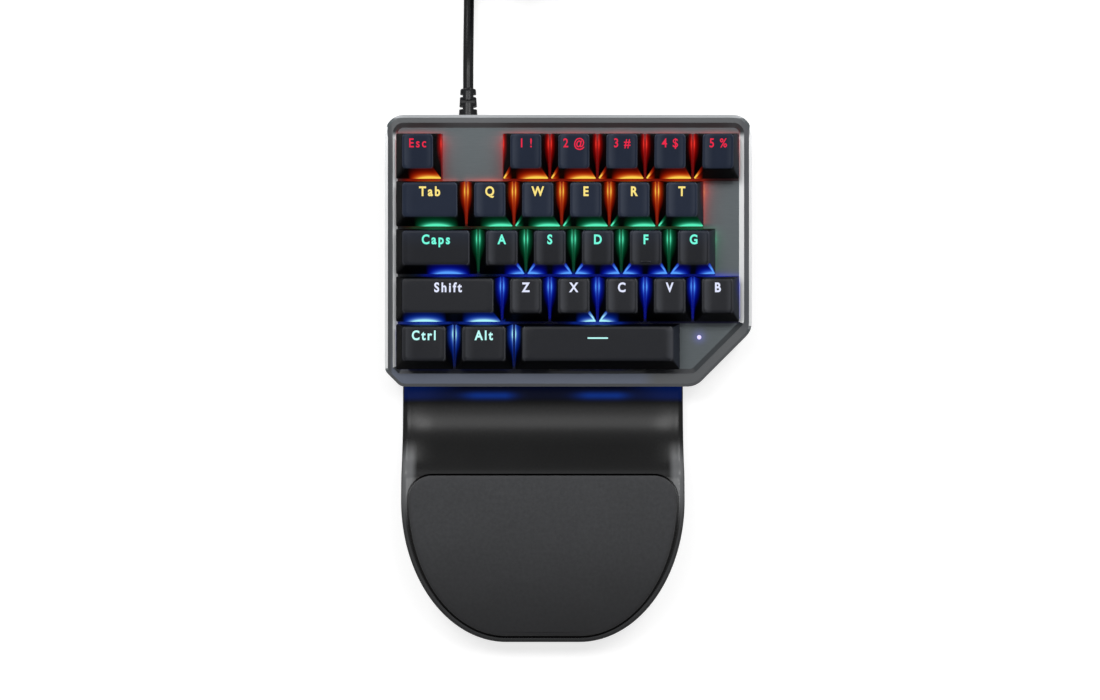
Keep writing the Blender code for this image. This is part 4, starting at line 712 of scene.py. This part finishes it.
class Cap:
    """The shape of a key cap, about its switch's middle at the plate."""

    def __init__(self, row, units):
        self.half_x = (units * KEY_PITCH - CAP_GAP) / 2
        self.half_y = (KEY_PITCH - CAP_GAP) / 2
        self.top_x = self.half_x - CAP_SIDE_TAPER
        self.front = -self.half_y + CAP_FRONT_TAPER
        self.rear = self.half_y - CAP_REAR_TAPER
        self.high_front = CAP_CLEARANCE + CAP_HEIGHT * CAP_FRONT_HEIGHTS[row]
        self.high_rear = CAP_CLEARANCE + CAP_HEIGHT * CAP_REAR_HEIGHTS[row]
        self.flat = units > 3
        self.columns = 8 if units < 2 else 14 if units < 3 else 22

    def top(self, x, y):
        """Height of the top at a place: dished, or slightly crowned on the long key."""
        share = (y - self.front) / (self.rear - self.front)
        height = self.high_front + (self.high_rear - self.high_front) * share
        across = min(1, abs(x) / self.top_x)
        if self.flat:
            return height - BAR_DROP * across ** 4
        return height - DISH_DEPTH * (1 - across * across)

    def laid(self, points, lift, offset=0.0):
        """Points (x, y) laid on the top, moved back by the offset."""
        return [(x, y + offset, self.top(x, y + offset) + lift) for x, y in points]

    def outline(self, share, inwards, radius):
        """Points (x, y) round the cap at a share of the way from base to top, drawn in."""
        half_x = self.half_x - CAP_SIDE_TAPER * share - inwards
        low_y = -self.half_y + CAP_FRONT_TAPER * share + inwards
        high_y = self.half_y - CAP_REAR_TAPER * share - inwards
        return rounded_box(half_x, low_y, high_y, radius, self.columns, 5)

    def ring(self, share, radius, drop=0.0, inwards=0.0):
        """The outer wall at a share of the way from base to top, drawn in and sunk."""
        points = []
        for x, y in self.outline(share, inwards, max(radius - inwards, 0.0002)):
            points.append((x, y, CAP_CLEARANCE + (self.top(x, y) - CAP_CLEARANCE) * share - drop))
        return points

    def mesh(self):
        """The cap, hollow from below, with its switch's slider and the long key's stems."""
        middle_y = (self.front + self.rear) / 2
        lowest_top = min(self.high_front, self.high_rear)
        hollow_top = lowest_top - DISH_DEPTH - CAP_ROOF
        hollow_share = (hollow_top - CAP_CLEARANCE) / (lowest_top - CAP_CLEARANCE)
        rings = []
        for part in (1, 0.5, 0):
            z = CAP_CLEARANCE + (hollow_top - CAP_CLEARANCE) * part
            rings.append([(x, y, z) for x, y in self.outline(hollow_share * part, CAP_WALL, 0.0005)])
        growth = CAP_TOP_CORNER - CAP_BASE_CORNER
        rings += [self.ring(s / 6, CAP_BASE_CORNER + growth * s / 6) for s in range(6)]
        rings.append(self.ring(0.945, 0.00155))
        for degrees in (30, 60, 90):
            turn = radians(degrees)
            drop, inwards = CAP_ROUNDING * (1 - sin(turn)), CAP_ROUNDING * (1 - cos(turn)) * 0.9
            rings.append(self.ring(1, CAP_TOP_CORNER, drop, inwards))
        edge = rings[-1]
        for scale in (0.86, 0.70, 0.52, 0.34, 0.16):
            drawn = [(x * scale, middle_y + (y - middle_y) * scale) for x, y, _ in edge]
            rings.append(self.laid(drawn, 0))
        bm = bmesh.new()
        last = loft(bm, rings, close_end=False)[-1]
        middle = bm.verts.new((0, middle_y, self.top(0, middle_y)))
        for here, following in zip(last, last[1:] + last[:1]):
            bm.faces.new((here, following, middle))
        # Middle x, width, depth and lower end of each slider
        sliders = [(0, 0.0070, 0.0054, 0.0009)]
        if self.flat:
            sliders += [(side * 0.0190, 0.0038, 0.0038, 0.0004) for side in (-1, 1)]
        high = hollow_top + 0.0002
        for x, width, depth, low in sliders:
            add_box(bm, (x, 0, (high + low) / 2), (width, depth, high - low))
        return to_mesh(bm)


def legend_mesh(text, cap, row):
    """A legend as flat letters laid on the cap's top, lifted off it by a hair."""
    line = bpy.data.curves.new("legend", "FONT")
    line.body = text
    line.size = LEGEND_HEIGHTS[row] / CAPITAL_SHARE
    line.align_x, line.align_y = "CENTER", "CENTER"
    line.space_character, line.space_word = LETTER_SPACING, WORD_SPACING
    line.offset = LEGEND_HEIGHTS[row] * LEGEND_BOLDNESS[row]
    line.resolution_u = 4
    writer = linked("writer", line)
    mesh = mesh_of(writer)
    bpy.data.objects.remove(writer, do_unlink=True)
    for vertex in mesh.vertices:
        place = (vertex.co.x * LETTER_WIDTH, vertex.co.y)
        vertex.co = cap.laid([place], LEGEND_LIFT, LEGEND_OFFSET)[0]
    return mesh


def space_line(cap):
    """The plain line that stands on the long key for a legend."""
    bm = bmesh.new()
    outline = rounded_box(0.0041, -0.0003, 0.0003, 0.00029)
    ring = cap.laid(outline, LEGEND_LIFT, SPACE_LINE_OFFSET)
    bm.faces.new([bm.verts.new(point) for point in ring])
    return to_mesh(bm)


def homing_bar(cap, place):
    """The bar that a finger finds on its home key."""
    rings = []
    for inwards, lift in ((0, -0.0002), (0.0001, 0.0003), (0.0003, 0.00042)):
        outline = rounded_box(0.0020 - inwards, -0.00045 + inwards, 0.00045 - inwards, 0.0001)
        rings.append(cap.laid(outline, lift, HOMING_OFFSET))
    return lofted(rings, place)


def build_keys():
    for name, row, x, y, units, legend in KEYS:
        cap = Cap(row, units)
        place = DECK @ Matrix.Translation((x, y, 0))
        body = "key_" + name
        mesh = cap.mesh()
        mesh.transform(place)
        finished("cap_" + name, mesh, CAP, body, [body], 40)
        mesh = legend_mesh(legend, cap, row) if legend else space_line(cap)
        mesh.transform(place)
        finished("legend_" + name, mesh, LEGENDS[row], body, smooth=0)
        if name == "f":
            finished("homing_bar", homing_bar(cap, place), CAP, body)


def smooth_share(value, start, end):
    share = max(0, min(1, (value - start) / (end - start)))
    return share * share * (3 - 2 * share)


def ramp_share(value, length, start, end):
    """From 0 to 1: bends over the start length, then even, then bends over the end length."""
    value = max(0, min(length, value))
    slope = 1 / (length - start / 2 - end / 2)
    if value < start:
        return slope * value * value / start / 2
    if value < length - end:
        return slope * (value - start / 2)
    return 1 - slope * (length - value) ** 2 / end / 2


def rest_top(y):
    """Height of the rest's top: a crown in front, and a rise to it from the neck."""
    crest = REST_FRONT + CREST_INSET
    crown = CREST_HEIGHT - (CREST_HEIGHT - FRONT_HEIGHT) / CREST_INSET ** 2 * (y - crest) ** 2
    share = ramp_share(REST_REAR - NECK_LENGTH + RISE_START - y, RISE_LENGTH, RISE_BEND, RISE_CREST)
    return NECK_HEIGHT + (crown - NECK_HEIGHT) * share


def rest_side(sides, front, straight=36, curved=39):
    """The rest's right half from rear to front, drawn in: half width, y and outward direction."""
    for i in range(straight):
        y = REST_REAR + (REST_BEND - REST_REAR) * i / straight
        yield REST_FLAT + REST_CURVE_X - sides, y, Vector((1, 0))
    for angle in quarter(curved):
        out = Vector((cos(angle) / REST_CURVE_X, -sin(angle) / REST_CURVE_Y)).normalized()
        x = REST_FLAT + (REST_CURVE_X - sides) * cos(angle)
        yield x, REST_BEND - (REST_CURVE_Y - front) * sin(angle), out


def mirrored(columns, closed):
    """A surface through columns of the right half and their mirror images."""
    bm = bmesh.new()
    rows = []
    for column in columns:
        right = [bm.verts.new((REST_MIDDLE + x, y, z)) for x, y, z in column]
        left = [bm.verts.new((REST_MIDDLE - x, y, z)) for x, y, z in column]
        rows.append(right + left[::-1])
    for near, far in zip(rows, rows[1:]):
        for a, b, c, d in zip(near, near[1:], far[1:], far):
            bm.faces.new((a, b, c, d))
        if closed:
            bm.faces.new((near[-1], near[0], far[0], far[-1]))
    for row in (rows[0], rows[-1]) if closed else (rows[-1],):
        size = len(row)
        for i in range(size // 2 - 1):
            bm.faces.new((row[i], row[i + 1], row[size - 2 - i], row[size - 1 - i]))
    return to_mesh(bm)


def rest_column(half, y, out):
    """One section of the rest's right half: up its wall, over its edge and in to the middle."""
    wall_bend = REST_SKIRT + 0.35 * (rest_top(y) - REST_EDGE - REST_SKIRT)
    column = [(half, y, REST_SKIRT), (half, y, wall_bend)]
    for angle in quarter(6):
        inwards = REST_EDGE * (1 - cos(angle))
        x, place = half - out.x * inwards, y - out.y * inwards
        column.append((x, place, rest_top(place) - REST_EDGE * (1 - sin(angle))))
    edge_x, edge_y, _ = column[-1]
    for share in (0.98, 0.96, 0.94, 0.92, 0.90, 0.88, 0.85, 0.82, 0.78, 0.70, 0.5, 0.25):
        column.append((edge_x * share, edge_y, rest_top(edge_y)))
    neck = smooth_share(edge_y, REST_SAG_START, REST_SAG_END)
    sagged = []
    for x, y, z in column:
        outward = min(max(0, x - edge_x + REST_SAG_WIDTH) / REST_SAG_WIDTH, 1)
        upward = (z - REST_SKIRT) / (rest_top(y) - REST_SKIRT)
        sagged.append((x, y, z - REST_SAG * neck * outward ** 2 * upward))
    return sagged


def build_rest():
    """A thick shell, open below, with a recess for the pad."""
    mesh = mirrored([rest_column(*place) for place in rest_side(0, 0)], False)
    shell = finished("rest_shell", mesh, SHELL, "housing", ["palm_rest"], 30)
    wall = shell.modifiers.new("wall", "SOLIDIFY")
    wall.thickness, wall.offset = REST_WALL, -1
    cut(shell, pad_mesh(0, -RECESS_SINK, RECESS_REACH), 30)


def pad_outline(drawn_in):
    """Right half of the pad's outline from rear to front: half width and y."""
    rear = REST_BEND + 0.0002 + PAD_CORNER - drawn_in
    half = REST_FLAT + REST_CURVE_X - PAD_EDGE - drawn_in
    radius = PAD_CORNER - drawn_in
    points = [(half - radius * (1 - sin(a)), rear - radius * (1 - cos(a))) for a in quarter(12)]
    for x, y, _ in rest_side(PAD_EDGE + drawn_in, PAD_FRONT + drawn_in):
        if y < rear - radius - 0.0006:
            points.append((x, y))
    return points


def pad_mesh(drawn_in, low, high, crown=0.0):
    """A solid in the pad's outline, between heights over the rest's top. A crown also rolls its edge."""
    rolled = []
    for angle in (0.4, 0.8, 1.2, pi / 2):
        inwards, lift = PAD_ROLL * (1 - cos(angle)), PAD_ROLL * 0.75 * sin(angle)
        rolled.append((pad_outline(drawn_in + inwards), lift))
    columns = []
    for index, (x, y) in enumerate(pad_outline(drawn_in)):
        column = [(x, y, rest_top(y) + low), (x, y, rest_top(y) + high)]
        if crown:
            for outline, lift in rolled:
                x, y = outline[index]
                column.append((x, y, rest_top(y) + high + lift))
            for share in (0.93, 0.84, 0.72, 0.58, 0.42, 0.26, 0.10):
                rise = crown * (1 - share ** 2) * pad_fullness(y)
                column.append((x * share, y, rest_top(y) + high + lift + rise))
        columns.append(column)
    return mirrored(columns, True)


def pad_fullness(y):
    """How full the pad is at y: not at all at its ends."""
    share = (y - REST_FRONT) / (REST_CURVE_Y + PAD_CORNER)
    return max(0.0, 1 - abs(2 * share - 1) ** 3)


def build_pad():
    mesh = pad_mesh(PAD_GROOVE, 0.0003 - PAD_SINK, -0.0002, PAD_RISE)
    finished("pad_cushion", mesh, PAD, "housing", ["palm_pad"], 50)


def lead_line(count=25):
    """The cable's way from the strain relief down to the table."""
    start = CASE_REAR + RELIEF_LENGTH + CABLE_GAP
    end = CASE_REAR + RELIEF_LENGTH + COIL_DISTANCE
    drop = CABLE_HEIGHT - COIL_START_HEIGHT
    for i in range(count):
        share = i / (count - 1)
        height = CABLE_HEIGHT - drop * smooth_share(share, 0.08, 0.62)
        yield Vector((CABLE_X, start + (end - start) * share, height))


def length_of(points):
    return sum((b - a).length for a, b in zip(points, points[1:]))


def cable_line():
    """The whole cable's line, and the direction in which it ends. It lies where the source lays it."""
    tail = pi / 2 * TAIL_RADIUS + 2 * CABLE_RADIUS
    around = 2 * pi * COIL_RADIUS
    wound = CABLE_LENGTH - length_of(list(lead_line(9))) - tail
    turns = round((wound / around - 0.25) * COIL_STEPS) / COIL_STEPS
    layer_turns = turns / COIL_LAYERS
    inner, outer = (COIL_RADIUS + side * COIL_PITCH * layer_turns / 2 for side in (-1, 1))
    points = list(lead_line())
    middle = Vector((points[-1].x + outer, points[-1].y + CABLE_GAP, 0))
    fine = 2
    for i in range(round((turns + 0.25) * COIL_STEPS) * fine + 1):
        turn = i / COIL_STEPS / fine
        layer, part = divmod(turn / layer_turns, 1)
        radius = inner + COIL_PITCH * layer_turns * (1 - part if layer % 2 == 0 else part)
        if turn > turns:
            radius = outer - COIL_PITCH * (turn - turns)
        height = COIL_START_HEIGHT
        for level in range(1, COIL_LAYERS + 1):
            step = COIL_PITCH if level < COIL_LAYERS else PLUG_RISE
            height += step * max(0, min(1, (turn - level * layer_turns) * 2 + 0.5))
        angle = pi - 2 * pi * turn
        points.append(middle + Vector((radius * cos(angle), radius * sin(angle), height)))
    out = Vector((cos(angle), sin(angle), 0))
    onwards = Vector((sin(angle), -cos(angle), 0))
    centre = points[-1] - out * TAIL_RADIUS
    for turned in quarter(14)[1:]:
        points.append(centre + TAIL_RADIUS * (out * cos(turned) + onwards * sin(turned)))
    points.append(points[-1] - out * 2 * CABLE_RADIUS)
    return points, -out


def build_cable():
    points, forward = cable_line()
    line = bpy.data.curves.new("cable", "CURVE")
    line.dimensions = "3D"
    line.bevel_depth = CABLE_RADIUS
    line.bevel_resolution = 4
    line.use_fill_caps = True
    spline = line.splines.new("POLY")
    spline.points.add(len(points) - 1)
    for point, place in zip(spline.points, points):
        point.co = (*place, 1)
    spline.use_smooth = True
    line.materials.append(SLEEVE)
    cable = linked("cable", line)
    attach(cable, "housing")
    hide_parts("cable_lead", "cable_coil")
    plug = build_plug(points[-1], forward)
    relief = build_relief()
    round(length_of(points), 3)


def build_relief():
    """A tapered sleeve with notches taken in turn from its sides and from its top and bottom."""
    turn = Matrix.Translation((CABLE_X, CASE_REAR, CABLE_HEIGHT)) @ Matrix.Rotation(-pi / 2, 4, "X")
    base, end, core, clamp, neck = 0.00385, 0.00315, 0.0021, 0.0034, 0.0025
    first_notch, notch_pitch, notch_width = 0.0051, 0.0025, 0.0013
    profile = [(CABLE_RADIUS, -0.0125), (CABLE_RADIUS, -0.0038), (clamp, -0.0038), (clamp, -0.0023),
               (neck, -0.0023), (neck, 0.0003), (base - 0.0003, 0.0003), (base, 0.0006)]
    for k in range(1, 11):
        profile.append((base + (end - base) * k / 10, 0.0006 + (RELIEF_LENGTH - 0.0011) * k / 10))
    profile += [(end - 0.0002, RELIEF_LENGTH - 0.0001), (end - 0.0006, RELIEF_LENGTH)]
    sleeve = lofted(turned_rings(profile, 40), turn)
    relief = finished("cable_relief", sleeve, SLEEVE, "housing", ["strain_relief"], 35)
    notches = []
    for number in range(3):
        height = first_notch + number * notch_pitch
        for side in (-1, 1):
            # A notch reaches from 6 mm out in to the core
            offset, depth = (core + 0.006) / 2 * side, 0.006 - core
            if number % 2:
                notches.append(((0, offset, height), (0.02, depth, notch_width)))
            else:
                notches.append(((offset, 0, height), (depth, 0.02, notch_width)))
    cut(relief, boxed(notches, turn), 35)
    return relief


def plug_loft(sections, turn):
    """A solid through sections, each given by its width, height, corner radius and y."""
    rings = []
    for width, height, corner, y in sections:
        outline = rounded_box(width / 2, -height / 2, height / 2, corner, 3, 2)
        rings.append([(x, y, z) for x, z in outline])
    return lofted(rings, turn)


def build_plug(start, forward):
    """A moulded body with a ribbed neck, a steel shell, and the tongue with its contacts inside."""
    turn = Matrix.Translation(start) @ Matrix.Rotation(atan2(-forward.x, forward.y), 4, "Z")
    near, neck_length, body_length = 0.0003, 0.0060, 0.0180
    neck = near + neck_length
    far = neck + body_length
    sections = [(0.0056, 0.0050, 0.0024, near), (0.0066, 0.0058, 0.0024, near + 0.0004)]
    for k in range(3):
        y = near + 0.0010 + k * 0.0016
        for step, draw in ((0.0, 0), (0.0009, 0), (0.0010, 0.0008), (0.0015, 0.0008)):
            sections.append((0.0072 - draw, 0.0060 - draw, 0.0022 - draw / 2, y + step))
    sections += [(0.0072, 0.0060, 0.0022, neck), (0.0120, 0.0072, 0.0022, neck + 0.0016),
                 (0.0152, 0.0079, 0.0020, neck + 0.0032), (0.0155, 0.0080, 0.0018, neck + 0.0050),
                 (0.0155, 0.0080, 0.0018, far - 0.0006), (0.0151, 0.0076, 0.0016, far - 0.0001),
                 (0.0143, 0.0068, 0.0012, far)]
    low, high = far + 0.0003, far + 0.0123
    shell = [(0.0120, 0.0045, 0.0004, low), (0.0120, 0.0045, 0.0004, high - 0.0002),
             (0.0118, 0.0043, 0.0003, high), (0.0112, 0.0037, 0.0002, high - 0.0001),
             (0.0112, 0.0037, 0.0002, low + 0.0010)]
    tongue = [((0, low + 0.0060, -0.00085), (0.0110, 0.0098, 0.0018))]
    contacts = [((-0.0035 + k * 0.00233, low + 0.0072, 0.00011), (0.0010, 0.0070, 0.00025)) for k in range(4)]
    windows = [((x, low + 0.0062, z), (0.0021, 0.0021, 0.00005)) for x in (-0.0029, 0.0029)
               for z in (-0.00226, 0.00226)]
    pieces = []
    for name, mesh, material, slot, nodes, smooth in (
        ("plug_body", plug_loft(sections, turn), PLUG, "rubber", ["usb_plug_body"], 40),
        ("plug_shell", plug_loft(shell, turn), STEEL, "bright_steel", ["usb_plug_shell"], 35),
        ("plug_tongue", boxed(tongue, turn), IVORY, "bright_steel", (), 35),
        ("plug_contacts", boxed(contacts, turn), GOLD, "bright_steel", (), 35),
        ("plug_windows", boxed(windows, turn), CHIP, "bright_steel", (), 35),
    ):
        pieces.append(finished(name, mesh, material, "housing", nodes, smooth))
    return pieces


def build_screws():
    """Threaded cross-head screws where the source puts them."""
    core, thread = 0.00105, 0.00125
    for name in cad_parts:
        if "screw" not in name:
            continue
        in_case = name.startswith("case")
        length = CASE_SCREW_LENGTH if in_case else REST_SCREW_LENGTH
        profile = [(0.00205, -SCREW_HEAD), (0.00225, -0.0013), (0.00225, -0.0001), (0.00215, 0), (thread, 0)]
        for k in range(int(length / THREAD_PITCH)):
            z = (k + 0.4) * THREAD_PITCH
            profile += [(core, z), (thread, z + THREAD_PITCH / 2)]
        profile.append((0.00095, length))
        low, high = map(Vector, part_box(name))
        middle = (low + high) / 2
        if in_case:
            seat = middle - DECK_NORMAL * (length - SCREW_HEAD) / 2
            turn = Matrix.Translation(seat) @ Matrix.Rotation(DECK_TILT, 4, "X")
        else:
            turn = Matrix.Translation((middle.x, middle.y, low.z + SCREW_HEAD))
        mesh = lofted(turned_rings(profile, 24), turn)
        screw = finished("cross_" + name, mesh, STEEL, "housing", [name], 30)
        bars = ((0.0026, 0.0006, 0.0018), (0.0006, 0.0026, 0.0018))
        cross = boxed([((0, 0, -SCREW_HEAD), size) for size in bars], turn)
        cut(screw, cross, 30, crossing=True)


def build_foot_tips():
    """Rubber tips on the tilt feet's free ends."""
    for side, x in (("left", -FOOT_REACH), ("right", FOOT_REACH)):
        low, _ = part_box("tilt_foot_" + side)
        rings = []
        for inwards, z in ((0.0004, 0.0), (0.0, 0.0004), (0.0, 0.0009)):
            ring = rounded_box(0.0055 - inwards, 0.0012 + inwards, 0.0046 - inwards, 0.0008)
            rings.append([(x + cx, low[1] + cy, low[2] - 0.0005 + z) for cx, cy in ring])
        finished("tilt_tip_" + side, lofted(rings), RUBBER, "tilt_foot_" + side)


def repaint():
    """Finishes for the CAD nodes that show as they are."""
    finishes = {
        "bottom_case": CASE, "tilt_foot": CASE, "palm_rest_base": CASE, "rubber_pad": RUBBER,
        "cable_tie": RUBBER, "top_cover": PLATE, "circuit_board": BOARD, "controller_chip": CHIP,
        "cable_connector": IVORY, "status_light": STATUS, "space_key_wire": STEEL,
    }
    for name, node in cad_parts.items():
        for start, material in finishes.items():
            if name.startswith(start):
                for slot in node.material_slots:
                    slot.material = material
                smoothed(node.data, 32)


def place_camera():
    """Square to the deck, a little over a metre above it."""
    lens = bpy.data.cameras.new("camera")
    lens.lens, lens.sensor_width = FOCAL_LENGTH, SENSOR_WIDTH
    lens.clip_end = 20
    eye = linked("camera", lens)
    eye.matrix_world = DECK @ Matrix.Translation(CAMERA_PLACE)
    bpy.context.scene.camera = eye


def softbox(name, place, width, height, power):
    """A rectangular lamp, aimed at the middle of the table."""
    lamp = bpy.data.lights.new(name, "AREA")
    lamp.shape, lamp.size, lamp.size_y = "RECTANGLE", width, height
    lamp.energy = power
    box = linked(name, lamp)
    box.location = place
    box.rotation_euler = (-Vector(place)).to_track_quat("-Z", "Y").to_euler()


def light_studio():
    """A white studio: the camera, gloss and glass see it white, and its light on the object is low."""
    scene = bpy.context.scene
    scene.view_settings.view_transform = "Standard"
    scene.world = bpy.data.worlds.new("studio")
    scene.world.use_nodes = True
    sky = Tree(scene.world.node_tree)
    background = sky.data.nodes["Background"]
    sky.plug(background.inputs["Color"], (1, 1, 1))
    camera, glossy, through = (sky.node("LightPath", out=f"Is {kind} Ray")
                               for kind in ("Camera", "Glossy", "Transmission"))
    low, white = 0.13, 1.0
    sky.plug(background.inputs["Strength"], low + camera.most(glossy).most(through) * (white - low))
    softbox("rear_light", (0, 0.53, 1.56), 1.0, 0.47, 6.6)
    for name, side in (("left", -1), ("right", 1)):
        softbox(name + "_light", (side * 0.56, 0.50, 1.42), 0.5, 0.34, 6)
        softbox(name + "_rim_light", (side * 0.66, 1.18, 0.54), 0.4, 0.4, 5)


def lay_floor():
    """A pale floor that the camera sees white, with the object's soft shadow on it."""
    finish = Finish("pale_floor", Roughness=0.9, Specular_IOR_Level=0.1, Emission_Strength=1.0)
    finish.set(Base_Color=finish.mix(finish.spots(3, 1.0), (0.41, 0.41, 0.41), (0.43, 0.43, 0.43)))
    seen = finish.node("LightPath", out="Is Camera Ray")
    finish.set(Emission_Color=finish.mix(seen, BLACK, (0.75, 0.75, 0.75)))
    bm = bmesh.new()
    bmesh.ops.create_grid(bm, x_segments=1, y_segments=1, size=6)
    mesh = to_mesh(bm)
    mesh.materials.append(finish.material)
    linked("floor", mesh)


place_camera()
build_cable()
build_keys()
build_rest()
build_pad()
build_screws()
build_foot_tips()
repaint()
light_studio()
lay_floor()
